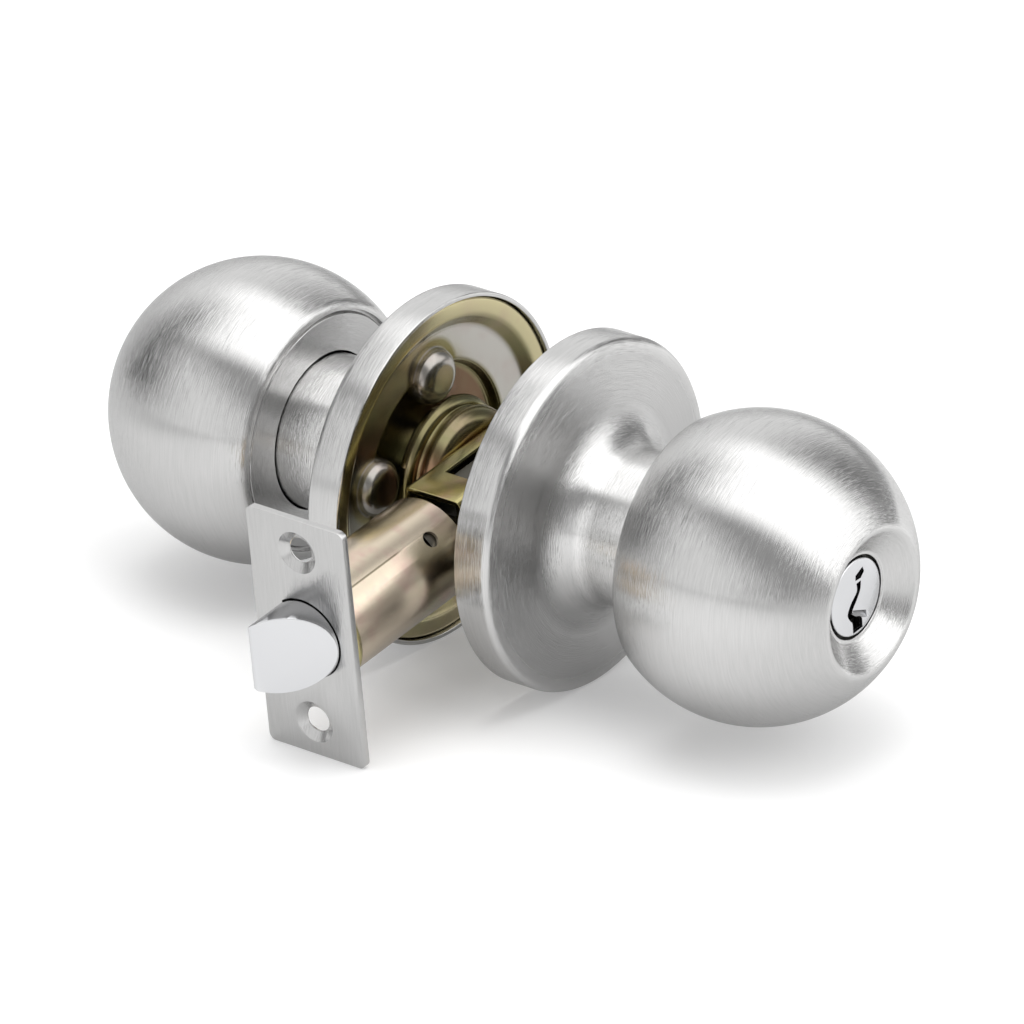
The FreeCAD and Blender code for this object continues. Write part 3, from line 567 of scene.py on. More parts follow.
FINE_LINES, BROAD_LINES = 9500, 4500   # grooves and streaks of the brushing in a metre


def brushed_metal(name, colour, roughness=0.15, grain=0.055, streak=0.022, straight=False):
    """Satin metal brushed round the knob axis or straight up: fine grooves and streaks along them, with
    painted light on a rose's neck and painted shade on its face and crown.
    """
    recipe = Metal(name)
    x, y, z = recipe.parts()
    if straight:
        across, spots = x, (y * 500, z * 260)
        depth = 0.0
    else:
        depth = (y * y + z * z + 1e-9).root()
        across, spots = x, (y / depth * 7, z / depth * 7)
    fine = recipe.noise(recipe.vector(across * FINE_LINES, *spots), 1.0, 1.0, w=depth * FINE_LINES)
    longer = (spot * 0.7 for spot in spots)
    broad = recipe.noise(recipe.vector(across * BROAD_LINES, *longer), 1.0, 2.0, w=depth * BROAD_LINES)
    normal = recipe.bump(fine, grain)
    normal = recipe.bump(broad, streak, normal)
    lines_share = (broad * 1.6 - 0.3).clamped()
    tone = recipe.blend(lines_share, scaled(colour, 0.93), scaled(colour, 1.07))
    if not straight:
        # painted light: a rose's neck gets a lighter copy of the steel, a painted sheen where it catches
        # more light
        neck = depth.below(0.0180, 0.0006) * abs(x).below(0.0530, 0.0004)
        tone = recipe.blend(neck, tone, scaled(colour, 1.25))
    # painted shade: a rose's face and crown get a darker copy of the steel; the added roughness there is
    # real
    crown = abs(x).between((0.0241, 0.0004), (0.0270, 0.0020))
    recipe.set(Base_Color=recipe.blend(crown, tone, scaled(colour, 0.86)),
               Roughness=roughness + 0.06 * (fine - 0.5) + 0.14 * crown, Normal=normal)
    return recipe.material


def played(recipe, tone, share=1.0, size=1.0, light=1.0):
    """Lay the plating's cloudy pink and green, each as a share, over a colour."""
    tones = finishes()
    clouds = recipe.noise(recipe.place, 95.0 / size, 3.0, 0.55)
    drift = recipe.noise(recipe.place, 61.0 / size, 2.0, 0.5)
    rosy = ((clouds - 0.50) * 6).clamped() * (0.6 * share)
    mossy = ((0.47 - drift) * 7).clamped() * (0.5 * share)
    tone = recipe.blend(rosy, tone, scaled(tones.pink, light))
    return recipe.blend(mossy, tone, scaled(tones.green, light))


def grit(recipe, roughness, spread, depth):
    """Give a plated surface its fine unevenness."""
    speckle = recipe.noise(recipe.place, 2600.0, 2.0, 0.6)
    recipe.set(Roughness=roughness + spread * (speckle - 0.5), Normal=recipe.bump(speckle, depth))


def plate_metal(name):
    """Plating of a mounting plate: straw rim, olive bend, silver flat, olive bosses and umber recess, with
    a darker tone painted towards -Y as shade and the recess's darkness partly painted shade.
    """
    tones = finishes()
    recipe = Metal(name)
    x, y, z = recipe.parts()
    radius, depth = (y * y + z * z + 1e-9).root(), abs(x)
    # painted shade: the flat and the recess turn to the darker shade tone towards -Y
    flat = recipe.blend(y.below(-0.006, 0.020), tones.silver, tones.shadow)
    recess = recipe.blend(y.below(0.0, 0.004), tones.umber, tones.shadow)
    tone = recipe.blend(radius.below(0.0338, 0.0012), tones.straw, tones.olive)
    tone = recipe.blend(radius.below(0.0314, 0.0008), tone, flat)
    tone = recipe.blend(radius.below(0.0238, 0.0010), tone, tones.olive)
    # inside 21.5 mm the recess: the plating hue darkened as painted shade
    tone = recipe.blend(radius.below(0.0215, 0.0012), tone, recess)
    for across, height in boss_places():
        aside, above = y - across * MM, z - height * MM
        away = (aside * aside + above * above + 1e-9).root()
        tone = recipe.blend(away.below(0.0084, 0.0012), tone, tones.olive)
        tone = recipe.blend(away.below(0.0066, 0.0004) * depth.below(0.0196, 0.0016), tone,
                            scaled(tones.silver, 0.7))
    recipe.set(Base_Color=played(recipe, tone, 0.35, light=0.8))
    grit(recipe, 0.24, 0.05, 0.0012)
    return recipe.material


def hub_metal(name):
    """Plating of a hub: golden ring, copper drum, with a darker olive painted over its top as shade."""
    tones = finishes()
    recipe = Metal(name)
    x, y, z = recipe.parts()
    tone = recipe.blend(abs(x).below(0.0133, 0.0012), tones.gold, tones.copper)
    # painted shade: above about 10.5 mm the hub turns to a darker olive
    tone = recipe.blend(z.below(0.0105, 0.0050), scaled(tones.olive, 0.75), tone)
    recipe.set(Base_Color=played(recipe, tone, 0.4, light=0.8))
    grit(recipe, 0.22, 0.05, 0.0010)
    return recipe.material


def plated_metal(name, colour, share=0.8, light=0.85):
    """One plating colour with its pink and green clouds."""
    recipe = Metal(name)
    recipe.set(Base_Color=played(recipe, colour, share, 0.7, light))
    grit(recipe, 0.2, 0.05, 0.0012)
    return recipe.material


def tube_metal(name):
    """Pale plating of the tube, with the dark line of its seam, painted shade in its bore and browner
    painted shade over its lower part.
    """
    tones = finishes()
    recipe = Metal(name)
    x, y, z = recipe.parts()
    round_axis = x.maths("ARCTAN2", x, z)
    seam = abs(round_axis - math.radians(34)).below(0.016, 0.022)
    seam = seam * abs(y + 0.0545).below(0.0095, 0.0030)
    # painted shade: the tube's bore, inside 11 mm, is made a dark olive
    inside = (x * x + z * z + 1e-9).root().below(0.0110, 0.0003)
    tone = played(recipe, tones.pale, 0.9, 0.8, 1.35)
    # painted shade: below about 4.5 mm the tube is blended a quarter of the way to umber
    tone = recipe.blend(z.below(0.0045, 0.0060) * 0.24, tone, tones.umber)
    tone = recipe.blend(inside, tone, scaled(tones.olive, 0.3))
    recipe.set(Base_Color=recipe.blend(seam * 0.8, tone, scaled(tones.olive, 0.4)))
    grit(recipe, 0.24, 0.08, 0.0009)
    return recipe.material


def plain_metal(name, colour, roughness=0.3):
    """Plain metal with a faint grain."""
    recipe = Metal(name)
    grain = recipe.noise(recipe.place, 1500.0, 2.0, 0.6)
    recipe.set(Base_Color=recipe.blend(grain, scaled(colour, 0.94), scaled(colour, 1.06)),
               Roughness=roughness + 0.1 * (grain - 0.5))
    return recipe.material


def plug_metal(name):
    """Bright plating on the plug's face; below the face, in the keyway and the cuts, the colour is painted
    near black as shade and the metal is rougher.
    """
    recipe = Metal(name)
    haze = recipe.noise(recipe.place, 900.0, 2.0, 0.5)
    # painted shade: everything sunk below the plug's face is made near black
    sunk_painted_shade = recipe.parts()[0].below(0.0903, 0.0006)
    tones = finishes()
    recipe.set(Base_Color=recipe.blend(sunk_painted_shade, tones.chrome, scaled(tones.steel, 0.12)),
               Roughness=0.14 + 0.04 * haze + 0.3 * sunk_painted_shade)
    return recipe.material


def slope_normal():
    """Direction square to the bolt's slope, into the bolt."""
    along = (Vector((*SLOPE_END, 0)) - Vector((*SLOPE_TIP, 0))).normalized()
    return Vector((-along.y, along.x, 0))


def bolt_metal(name):
    """Bright plating on the bolt's slope, duller on its round sides."""
    recipe = Metal(name)
    chrome = finishes().chrome
    haze = recipe.noise(recipe.place, 300.0, 2.0, 0.5)
    x, y, z = recipe.parts()
    inwards = slope_normal()
    depth = (x - SLOPE_TIP[0] * MM) * inwards.x + (y - SLOPE_TIP[1] * MM) * inwards.y
    under_slope = 1 - depth.below(0.0005, 0.0004)
    recipe.set(Base_Color=recipe.blend(under_slope, chrome, scaled(chrome, 0.66)),
               Roughness=0.06 + 0.03 * haze + 0.06 * under_slope)
    return recipe.material


def polished_metal(name, colour):
    """Bright plating with a trace of haze."""
    recipe = Metal(name)
    haze = recipe.noise(recipe.place, 300.0, 2.0, 0.5)
    recipe.set(Base_Color=recipe.blend(haze, scaled(colour, 0.97), colour),
               Roughness=0.06 + 0.03 * haze)
    return recipe.material


METALS = {}


def metal(key):
    """One of the lock's metals, made once."""
    if not METALS:
        tones = finishes()
        METALS.update({
            "satin": brushed_metal("satin_steel", tones.satin),
            # the knob backs get a darker copy of the satin steel: painted shade for the shadow between knob
            # and rose
            "satin_back_shaded": brushed_metal("satin_knob_back_painted_shade", scaled(tones.satin, 0.82)),
            "satin_latch": brushed_metal("satin_faceplate", scaled(tones.satin, 0.90), 0.20, 0.03,
                                         0.03, True),
            "plate": plate_metal("plate_zinc"),
            "liner": plated_metal("liner_zinc", tones.liner, 0.3, 0.4),
            "hub": hub_metal("hub_zinc"),
            "zinc": plated_metal("frame_zinc", scaled(tones.gold, 1.25)),
            "pale": tube_metal("tube_zinc"),
            "chrome": polished_metal("bright_chrome", tones.chrome),
            "bolt": bolt_metal("bolt_chrome"),
            "plug": plug_metal("plug_chrome"),
            "dull": plain_metal("dull_steel", scaled(tones.steel, 0.35), 0.4),
            # painted shade: the cylinder body, seen in the gap round the plug, is made near black
            "body": plain_metal("cylinder_painted_shade", scaled(tones.steel, 0.14), 0.5),
            "steel": plain_metal("inner_steel", tones.steel),
            "brass": plain_metal("cylinder_brass", tones.brass),
            "wire": plain_metal("spring_wire", scaled(tones.steel, 0.8), 0.25),
        })
    return METALS[key]


def leg(long_side, short_side):
    """Third side of a right triangle."""
    return math.sqrt(long_side ** 2 - short_side ** 2)


class LOCKSET_OT_roses(bpy.types.Operator):
    """Model both roses: rim, rounded edge, low crown and the flare into the neck"""
    bl_idname = "lockset.roses"
    bl_label = "Roses"

    def execute(self, context):
        size = sizes()
        radius, neck = size.rose_radius / MM, size.neck_radius / MM
        edge, flare = size.rose_round / MM, size.flare_radius / MM
        crown = FACE + 1.6
        inner = radius - 1.0
        for word, side in SIDES:
            piece = turned_piece(word + "_rose_skin", [
                line(MOUTH, inner, 0.2),
                line(MOUTH, radius, 0.3),
                line(FACE - edge, radius),
                bend(FACE, radius - edge, FACE - edge, radius - edge),
                line(crown, neck + flare),
                bend(crown + flare, neck, crown + flare, neck + flare),
                line(NECK_END, neck),
                line(NECK_END, neck - 1),
                line(crown + flare, neck - 1),
                bend(crown - 1, neck + flare, crown + flare, neck + flare),
                line(FACE - 1, radius - edge),
                bend(FACE - edge, inner, FACE - edge, radius - edge),
            ], side)
            fit(piece, "chassis", metal("satin"), "satin_steel", word + "_rose")
        return {"FINISHED"}


class LOCKSET_OT_knobs(bpy.types.Operator):
    """Model both ball shells with their dished fronts and curled lips, and the knob backs"""
    bl_idname = "lockset.knobs"
    bl_label = "Knobs"

    def execute(self, context):
        size = sizes()
        radius = size.ball_radius / MM
        lip, dish = size.lip_round / MM, size.dish_round / MM
        inner = radius - 1.2
        rim = BALL + leg(radius, DISH)
        floor = rim - DISH_DEPTH
        floor_back = floor - (leg(radius, DISH) - leg(inner, DISH))
        back_radius = leg(radius, BALL - REAR)
        flange = REAR + 1.26
        for word, side in SIDES:
            hole = PLUG_HOLE if side > 0 else BUTTON_HOLE
            shell = turned_piece(word + "_ball", [
                line(REAR, back_radius - 1.5, 0.4),
                line(REAR, back_radius, lip),
                bend(rim, DISH, BALL, 0, dish),
                line(floor, DISH_FLOOR, 0.3),
                line(floor, hole, 0.2),
                line(floor_back, hole),
                line(floor_back, DISH_FLOOR),
                line(BALL + leg(inner, DISH), DISH),
                bend(REAR + 1.2, leg(inner, 16.5), BALL, 0),
                line(REAR + 1.2, back_radius - 1.5),
            ], side, steps_round=224)
            fit(shell, word + "_knob", metal("satin"), "satin_steel", word + "_knob_shell")
            back = turned_piece(word + "_back_plate", [
                line(REAR + 0.35, BACK_HOLE, 0.3),
                line(REAR + 0.35, back_radius - 2.5, 0.2),
                line(flange, back_radius - 2.06),
                line(flange, back_radius - 1.06),
                line(flange + 1.2, back_radius - 1.06),
                line(flange + 1.2, BACK_HOLE + 1.2),
                line(REAR + 6, BACK_HOLE + 1.2),
                line(REAR + 6, BACK_HOLE),
            ], side)
            fit(back, word + "_knob", metal("satin_back_shaded"), "satin_steel", word + "_knob_back")
        return {"FINISHED"}


def boss_places():
    """Where the domed bosses stand on a mounting plate."""
    turns = [math.radians(angle) for angle in BOSS_ANGLES]
    return [(BOSS_CIRCLE * math.cos(turn), BOSS_CIRCLE * math.sin(turn)) for turn in turns]


class LOCKSET_OT_mounting_plates(bpy.types.Operator):
    """Model the pressed plates in the roses' mouths, with their domed bosses"""
    bl_idname = "lockset.mounting_plates"
    bl_label = "Mounting plates"

    def execute(self, context):
        face = MOUTH + 0.8
        lip, plateau = 37.75, face + 2.5
        for label, side in (("outside_rose_liner", 1), ("inside_mounting_plate", -1)):
            parts = [turned_piece(label + "_pressing", [
                line(face, lip, 0.8),
                line(face, lip - 3.9, 0.9),
                line(plateau, 31.2, 0.8),
                line(plateau, 23, 0.9),
                line(RECESS, 22.5, 0.9),
                line(RECESS, 10.56),
                line(RECESS + 1, 10.56),
                line(RECESS + 1, 23.5, 0.5),
                line(plateau + 1, 24, 0.5),
                line(plateau + 1, 32.2, 0.5),
                line(face + 1, lip - 2.9, 0.5),
                line(face + 1, lip - 1),
                line(face + 4.7, lip - 1),
                line(face + 4.7, lip),
            ], side)]
            for index, (y, z) in enumerate(boss_places()):
                parts.append(turned_piece(f"{label}_boss_{index}", [
                    line(RECESS + 0.5, 0),
                    line(RECESS + 0.5, BOSS),
                    line(BOSS_TOP + 3.4, BOSS, 1.2),
                    bend(BOSS_TOP, BOSS - 3.4, BOSS_TOP + 3.4, BOSS - 3.4),
                    line(BOSS_TOP, 0),
                ], side, steps_round=72, place=(0, y, z)))
            finish = metal("liner" if side > 0 else "plate")
            fit(joined(label + "_plate", parts), "chassis", finish, "yellow_zinc", label)
        return {"FINISHED"}


class LOCKSET_OT_hubs(bpy.types.Operator):
    """Model the hubs: domed drum, groove and the rolled ring notched round the bosses"""
    bl_idname = "lockset.hubs"
    bl_label = "Hubs"

    def execute(self, context):
        for word, side in SIDES:
            hub = turned_piece(word + "_hub_drum", [
                line(FRAME_SIDE, HUB_BORE),
                line(FRAME_SIDE, 11.4),
                bend(11.4, 15.4, 11.4, 11.4, 0.3),
                line(12.5, 14.3, 0.4),
                line(13.6, 14.6, 0.2),
                bend(15.6, 16.6, 15.6, 14.6),
                bend(17.6, 14.6, 15.6, 14.6),
                line(17.6, 10.5),
                line(26, 10.5),
                line(26, HUB_BORE),
            ], side)
            tools = [bar("notch", BOSS + 0.3, (side * 15.3, y, z), (side * 18.6, y, z), faces=64)
                     for y, z in boss_places()]
            fit(smooth(carve(hub, *tools)), "chassis", metal("hub"), "yellow_zinc", word + "_hub")
        return {"FINISHED"}


class LOCKSET_OT_frame(bpy.types.Operator):
    """Model the folded frame round the retractor, with its windows and tongues"""
    bl_idname = "lockset.frame"
    bl_label = "Frame"

    def execute(self, context):
        side, top = FRAME_SIDE - SHEET, FRAME_TOP - SHEET
        body = block("frame_sheet", (-FRAME_SIDE, -33, -FRAME_TOP), (FRAME_SIDE, 25, FRAME_TOP))
        round_folds(body, 1, 1.5)
        carve(body,
              round_folds(block("inside", (-side, -34, -top), (side, 26, top)), 1, 0.3, 3),
              block("above_tongue", (-9, -34, 4.5), (9, -25, 12.5)),
              block("below_tongue", (-9, -34, -12.5), (9, -25, -4.5)),
              block("window", (-3.3, -16, -12.5), (3.3, 14, 12.5)),
              bar("bearing", 9.5, (-9, 0, 0), (9, 0, 0)))
        soften(body, 0.2)
        fit(body, "chassis", metal("zinc"), "yellow_zinc", "chassis_frame")
        return {"FINISHED"}


class LOCKSET_OT_latch(bpy.types.Operator):
    """Model the faceplate, the tube and its collar, and the sloped bolt"""
    bl_idname = "lockset.latch"
    bl_label = "Latch"

    def execute(self, context):
        self.faceplate()
        self.tube()
        self.bolt()
        return {"FINISHED"}

    def faceplate(self):
        """Sheet with rounded corners, a hole for the bolt and two countersunk screw holes."""
        plate = block("faceplate_sheet", (-PLATE_SIDE, PLATE_FRONT, -PLATE_TOP),
                      (PLATE_SIDE, PLATE_BACK, PLATE_TOP))
        round_folds(plate, 1, 1.6)
        hole = bar("bolt_hole", 9.3, (0, -71, 0), (0, -67, 0), faces=128)
        carve(hole, block("flat", (-11, -72, -11), (-5.4, -66, 11)))
        tools = [hole]
        for z in (SCREW_HEIGHT, -SCREW_HEIGHT):
            tools.append(turned_piece("sink", [
                line(-70.6, 0),
                line(-70.6, 5.4),
                line(-70.02, 4.9, 0.3),
                line(-68.6, 2.85, 0.2),
                line(-67, 2.75),
                line(-67, 0),
            ], axis="Y", steps_round=96, place=(0, 0, z)))
        carve(plate, *tools)
        soften(plate, 0.25)
        fit(plate, "chassis", metal("satin_latch"), "satin_plate", "latch_faceplate")

    def tube(self):
        """Tube with its two side holes, and the collar that holds it to the faceplate."""
        tube = turned_piece("tube_wall", [
            line(TUBE_START, TUBE_BORE), line(TUBE_START, TUBE),
            line(TUBE_END, TUBE, 0.3), line(TUBE_END, TUBE_BORE, 0.3),
        ], axis="Y")
        lean = math.radians(HOLE_LEAN)
        towards = Vector((math.sin(lean), 0, math.cos(lean)))
        spot = Vector((0, -36.2, 0))
        carve(tube, bar("side_hole", 1.85, spot + towards * 5, spot + towards * 13),
              bar("far_hole", 1.85, spot - towards * 5, spot - towards * 13))
        fit(smooth(tube), "chassis", metal("pale"), "pale_zinc", "latch_tube")
        collar = turned_piece("tube_collar", [
            line(PLATE_BACK, TUBE_BORE), line(PLATE_BACK, 12.8, 0.4),
            line(TUBE_START, 12.8, 0.5), line(TUBE_START, TUBE_BORE),
        ], axis="Y")
        fit(collar, "chassis", metal("zinc"), "pale_zinc", "latch_collar")

    def bolt(self):
        """Round nose with a flat back, cut along its slope, and the tail slotted for the bar."""
        nose = bar("bolt_nose", 9.0, (0, -82, 0), (0, -68.1, 0), faces=160)
        carve(nose, block("flat_back", (-12, -84, -12), (-5.1, -60, 12)))
        only(nose)
        bpy.ops.object.mode_set(mode="EDIT")
        bpy.ops.mesh.select_all(action="SELECT")
        bpy.ops.mesh.bisect(plane_co=Vector((*SLOPE_TIP, 0)) * MM, plane_no=slope_normal(), use_fill=True,
                            clear_inner=True, clear_outer=False)
        bpy.ops.object.mode_set(mode="OBJECT")
        soften(nose, 0.7, segments=5)
        tail = bar("bolt_tail", 10.4, (0, -68.1, 0), (0, -56, 0))
        carve(tail, block("bar_slot", (-0.86, -61.06, -3.06), (0.86, -55, 3.06)))
        soften(tail, 0.2)
        bolt = joined("bolt_nose_and_tail", [nose, tail])
        fit(bolt, "latch_bolt", metal("bolt"), "bright_chrome", "latch_bolt")


class LOCKSET_OT_plug(bpy.types.Operator):
    """Model the plug with its flowing keyway, the mark over it and the ward cut beside it"""
    bl_idname = "lockset.plug"
    bl_label = "Plug"

    def execute(self, context):
        floor = BALL + leg(sizes().ball_radius / MM, DISH) - DISH_DEPTH
        face = floor + 0.1
        plug = turned_piece("plug_barrel", [
            line(58.68, 0),
            line(58.68, 6.4),
            line(59.48, 6.4),
            line(59.48, 5.2),
            line(60.54, 5.2),
            line(60.54, 6.4),
            line(floor - 2.1, 6.4),
            line(floor - 2.1, 8.6),
            line(face, 8.6, 0.4),
            line(face, 0),
        ])
        right = [(2.0, 3.1), (1.6, 1.2), (0.2, -0.6), (-1.65, -2.6), (-0.6, -4.3), (1.3, -5.4),
                 (1.5, -7.9)]
        left = [(-1.9, -7.9), (-1.95, -5.4), (-2.7, -4.3), (-3.35, -2.6), (-1.95, -0.6), (0.3, 1.2),
                (0.4, 3.1)]
        mark = [(2.9, 6.0), (3.3, 4.7), (2.0, 3.7), (0.1, 3.9), (0.3, 5.1)]
        carve(plug, prism("keyway", flowing(right) + flowing(left), floor - 22, face + 1),
              prism("mark", mark, face - 1.3, face + 1), self.ward(face))
        fit(smooth(plug), "key_plug", metal("plug"), "bright_chrome", "cylinder_plug")
        return {"FINISHED"}

    def ward(self, face):
        """Sloping cut beside the keyway, deepest along its upper edge."""
        wedge = draw_wire("ward", [Vector(spot) * MM for spot in (
            (face - 1.0, 0, -2.4), (face + 0.6, 0, -5.3), (face + 0.6, 0, -2.4))])
        bpy.ops.mesh.select_all(action="SELECT")
        bpy.ops.mesh.edge_face_add()
        bpy.ops.transform.translate(value=(0, -1.5 * MM, 0))
        bpy.ops.mesh.extrude_region_move(TRANSFORM_OT_translate={"value": Vector((0, 4.6, -2.2)) * MM})
        face_outwards()
        return wedge


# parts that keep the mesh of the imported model, by their metal
CAD_METALS = {
    "dull": ("retractor", "tube_end_cap"),
    "steel": ("outside_spindle", "inside_spindle", "outside_knob_sleeve", "inside_knob_sleeve",
              "outside_knob_catch", "inside_knob_catch", "latch_bar", "latch_pin", "tailpiece",
              "button_stem", "button_guide", "plug_clip", "pin_cover"),
    "pale": ("spring_keeper",),
    "wire": ("pin_springs",),
    "brass": ("key_pins", "driver_pins"),
    # the cylinder body is painted near black as shade
    "body": ("cylinder_body",),
    "chrome": ("push_button",),
}


# springs that shorten: the body that moves, the body that stays and the axis, 0 for X and 1 for Y
SPRINGS = {
    "retractor_springs": ("retractor", "chassis", 1),
    "bolt_spring": ("latch_bolt", "chassis", 1),
    "button_spring": ("push_button", "inside_knob", 0),
}


class LOCKSET_OT_springs(bpy.types.Operator):
    """Copy the springs that shorten, give the copies the wire metal and hide the imported springs"""
    bl_idname = "lockset.springs"
    bl_label = "Springs"

    def execute(self, context):
        for name, (moving, fixed, axis) in SPRINGS.items():
            coil = bpy.data.objects.new(name + "_coils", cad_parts[name].data.copy())
            context.scene.collection.objects.link(coil)
            only(coil)
            bpy.ops.object.mode_set(mode="EDIT")
            bpy.ops.mesh.select_all(action="SELECT")
            bpy.ops.mesh.remove_doubles(threshold=1e-7)
            bpy.ops.object.mode_set(mode="OBJECT")
            smooth(coil, 40)
            coil.data.materials.clear()
            coil.data.materials.append(metal("wire"))
            low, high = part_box(name)
            start, end = Vector(), Vector()
            start[axis], end[axis] = low[axis], high[axis]
            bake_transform(coil)
            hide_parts(name)
        return {"FINISHED"}


class LOCKSET_OT_inner_parts(bpy.types.Operator):
    """Give the parts that keep their own mesh their metals"""
    bl_idname = "lockset.inner_parts"
    bl_label = "Inner parts"

    def execute(self, context):
        for key, names in CAD_METALS.items():
            for name in names:
                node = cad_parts[name]
                node.data.materials.clear()
                node.data.materials.append(metal(key))
        return {"FINISHED"}


class LOCKSET_OT_stage(bpy.types.Operator):
    """Set up the pale floor, the soft light and the camera"""
    bl_idname = "lockset.stage"
    bl_label = "Stage"

    def execute(self, context):
        self.floor()
        self.light()
        self.camera()
        context.scene.view_settings.view_transform = "Standard"
        return {"FINISHED"}

    def floor(self):
        """Leaning floor that the lock rests on: white to the camera, greyer in reflections."""
        nothing_selected()
        bpy.ops.mesh.primitive_plane_add(size=6, location=(0, 0, 0))
        floor = name_piece("floor")
        lean = math.radians(8.8)
        normal = Vector((0, math.sin(lean), math.cos(lean)))
        floor.data.transform(Matrix.Translation(normal * -39.02 * MM) @ Matrix.Rotation(-lean, 4, "X"))
        recipe = Metal("floor", metallic=0.0)
        path = recipe.node("ShaderNodeLightPath", {})
        seen = Shade(recipe, path.outputs["Is Camera Ray"])
        recipe.set(Base_Color=recipe.blend(seen, finishes().floor, scaled(finishes().floor, 1.45)),
                   Roughness=0.9)
        recipe.shader.inputs["Specular IOR Level"].default_value = 0.0
        mirrored = Shade(recipe, path.outputs["Is Glossy Ray"])
        x, y, z = recipe.parts()
        front = y.below(-0.02, 0.16) * x.between((-0.24, 0.12), (0.24, 0.20))
        front = front * (0.21 + 0.14 * (1 - x.below(-0.02, 0.16)))
        behind = (1 - y.below(0.13, 0.10)) * (1 - x.below(-0.20, 0.08)) * 0.24
        beside = (1 - x.below(0.12, 0.05)) * (1 - y.below(0.0, 0.05)) * 0.25
        glow = recipe.node("ShaderNodeEmission", {}, (1, 1, 1, 1),
                           seen * 0.24 + mirrored * (front + behind + beside))
        both = recipe.node("ShaderNodeAddShader", {}, recipe.shader.outputs[0], glow.outputs[0])
        # a camera that looks from under the leaning floor sees the lock through it
        from_below = Shade(recipe, recipe.node("ShaderNodeNewGeometry", {}).outputs["Backfacing"])
        clear = recipe.node("ShaderNodeBsdfTransparent", {})
        sided = recipe.node("ShaderNodeMixShader", {}, from_below, both.outputs[0], clear.outputs[0])
        recipe.feed(recipe.tree.nodes["Material Output"].inputs[0], sided.outputs[0])
        floor.data.materials.append(recipe.material)

    # softboxes: strength, lean, limits in degrees round the knob axis from -Y over the top, and limits
    # along that axis, each limit with the width of its soft step
    panels = (
        (1.30, 0, (68, 12), (122, 16), (-0.50, 0.3), (1.2, 0.3)),
        (1.10, 0, (118, 14), (138, 14), (0.20, 0.2), (1.2, 0.3)),
        (1.10, 0, (136, 14), (176, 12), (0.48, 0.2), (1.2, 0.3)),
        (0.56, 0, (112, 20), (200, 12), (-1.2, 0.3), (-0.14, 0.3)),
        (-0.20, 0, (-20, 20), (200, 12), (-1.2, 0.1), (-0.90, 0.12)),
        (-0.12, 0, (140, 20), (200, 12), (-0.08, 0.2), (0.40, 0.2)),
        (0.54, 32, (-40, 8), (45, 9), (-0.76, 0.25), (0.55, 0.3)),
        (-0.25, 0, (-1, 2), (4, 3), (-1.2, 0.3), (0.5, 0.3)),
        (-0.12, 0, (20, 20), (112, 16), (-1.2, 0.1), (-0.76, 0.14)),
    )

    def light(self):
        """Studio of softboxes round the knob axis, white to the camera, and one lamp overhead."""
        world = bpy.data.worlds.new("studio")
        world.use_nodes = True
        bpy.context.scene.world = world
        recipe = Recipe(world.node_tree)
        backdrop = recipe.tree.nodes["Background"]
        direction = recipe.node("ShaderNodeTexCoord", {}).outputs["Generated"]
        x, y, z = recipe.split(direction)
        round_axis = z.maths("ARCTAN2", z, 0 - y) * (180 / math.pi)
        glow = 0.38  # between the softboxes
        for strength, lean, first, last, left, right in self.panels:
            leaned = round_axis + x * lean
            glow = glow + strength * (leaned.between(first, last) * x.between(left, right))
        tone = recipe.vector(glow, glow, glow)
        path = recipe.node("ShaderNodeLightPath", {})
        seen = Shade(recipe, path.outputs["Is Camera Ray"])
        recipe.feed(backdrop.inputs[0], recipe.blend(seen, tone, (1, 1, 1)))
        backdrop.inputs[1].default_value = 1.0
        bpy.ops.object.light_add(type="AREA", location=(0, 0.05, 0.9))
        lamp = bpy.context.active_object
        lamp.name = "top_light"
        lamp.visible_glossy = False
        lamp.data.shape = "RECTANGLE"
        lamp.data.size = 0.75
        lamp.data.size_y = 0.45
        lamp.data.energy = stage_settings().top_power

    def camera(self):
        """Camera at the fitted place, given by the directions of its right and its back."""
        bpy.ops.object.camera_add(location=(1.1683, -1.4115, 1.0780))
        camera = bpy.context.active_object
        right = Vector((0.79699, 0.59884, -0.07871))
        back = Vector((0.54856, -0.66314, 0.50924))
        up = back.cross(right)
        camera.rotation_mode = "QUATERNION"
        camera.rotation_quaternion = Matrix((right, up, back)).transposed().to_quaternion()
        camera.data.lens = stage_settings().lens
        camera.data.sensor_width = 36
        bpy.context.scene.camera = camera


class LOCKSET_PT_panel(bpy.types.Panel):
    """Sizes, colours and steps of the lockset"""
    bl_idname = "LOCKSET_PT_panel"
    bl_label = "Lockset"
    bl_space_type = "VIEW_3D"
    bl_region_type = "UI"
    bl_category = "Lockset"

    def draw(self, context):
        layout = self.layout
        for group in (context.scene.lockset_sizes, context.scene.lockset_finishes,
                      context.scene.lockset_stage):
            column = layout.box().column()
            for key in group.__annotations__:
                column.prop(group, key)
        for operator in OPERATORS:
            layout.operator(operator.bl_idname)


GROUPS = (LocksetSizes, LocksetFinishes, LocksetStage)
OPERATORS = (LOCKSET_OT_roses, LOCKSET_OT_knobs, LOCKSET_OT_mounting_plates, LOCKSET_OT_hubs,
             LOCKSET_OT_frame, LOCKSET_OT_latch, LOCKSET_OT_plug, LOCKSET_OT_springs,
             LOCKSET_OT_inner_parts, LOCKSET_OT_stage)


def register():
    """Register the classes and hang the settings on the scene."""
    for item in (*GROUPS, *OPERATORS, LOCKSET_PT_panel):
        bpy.utils.register_class(item)
    bpy.types.Scene.lockset_sizes = PointerProperty(type=LocksetSizes)
    bpy.types.Scene.lockset_finishes = PointerProperty(type=LocksetFinishes)
    bpy.types.Scene.lockset_stage = PointerProperty(type=LocksetStage)


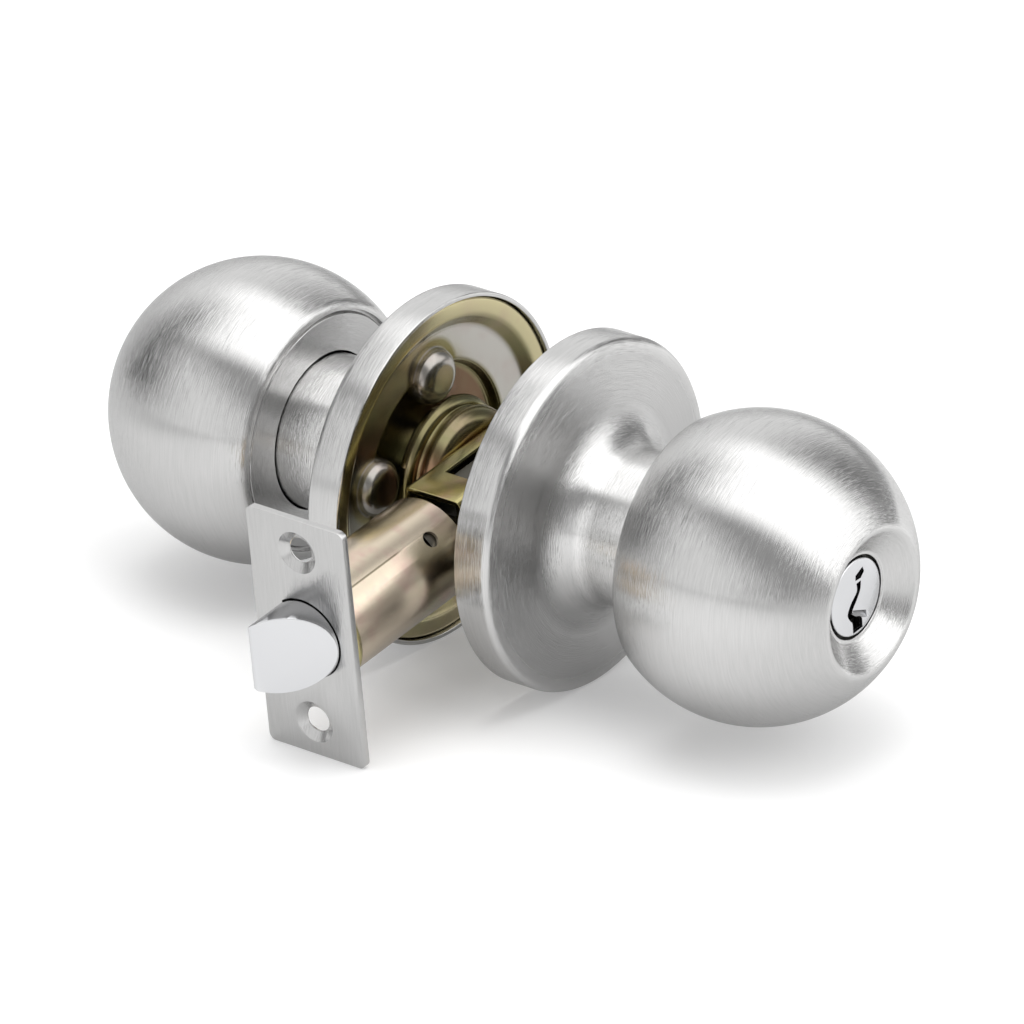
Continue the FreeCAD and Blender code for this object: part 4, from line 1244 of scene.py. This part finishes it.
def unregister():
    """Take the settings and the classes away again."""
    del bpy.types.Scene.lockset_sizes, bpy.types.Scene.lockset_finishes, bpy.types.Scene.lockset_stage
    for item in reversed((*GROUPS, *OPERATORS, LOCKSET_PT_panel)):
        bpy.utils.unregister_class(item)


def main():
    """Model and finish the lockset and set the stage."""
    register()
    bpy.ops.lockset.roses()
    bpy.ops.lockset.knobs()
    bpy.ops.lockset.mounting_plates()
    bpy.ops.lockset.hubs()
    bpy.ops.lockset.frame()
    bpy.ops.lockset.latch()
    bpy.ops.lockset.plug()
    bpy.ops.lockset.springs()
    bpy.ops.lockset.inner_parts()
    bpy.ops.lockset.stage()
    nothing_selected()


if __name__ == "__main__":
    main()
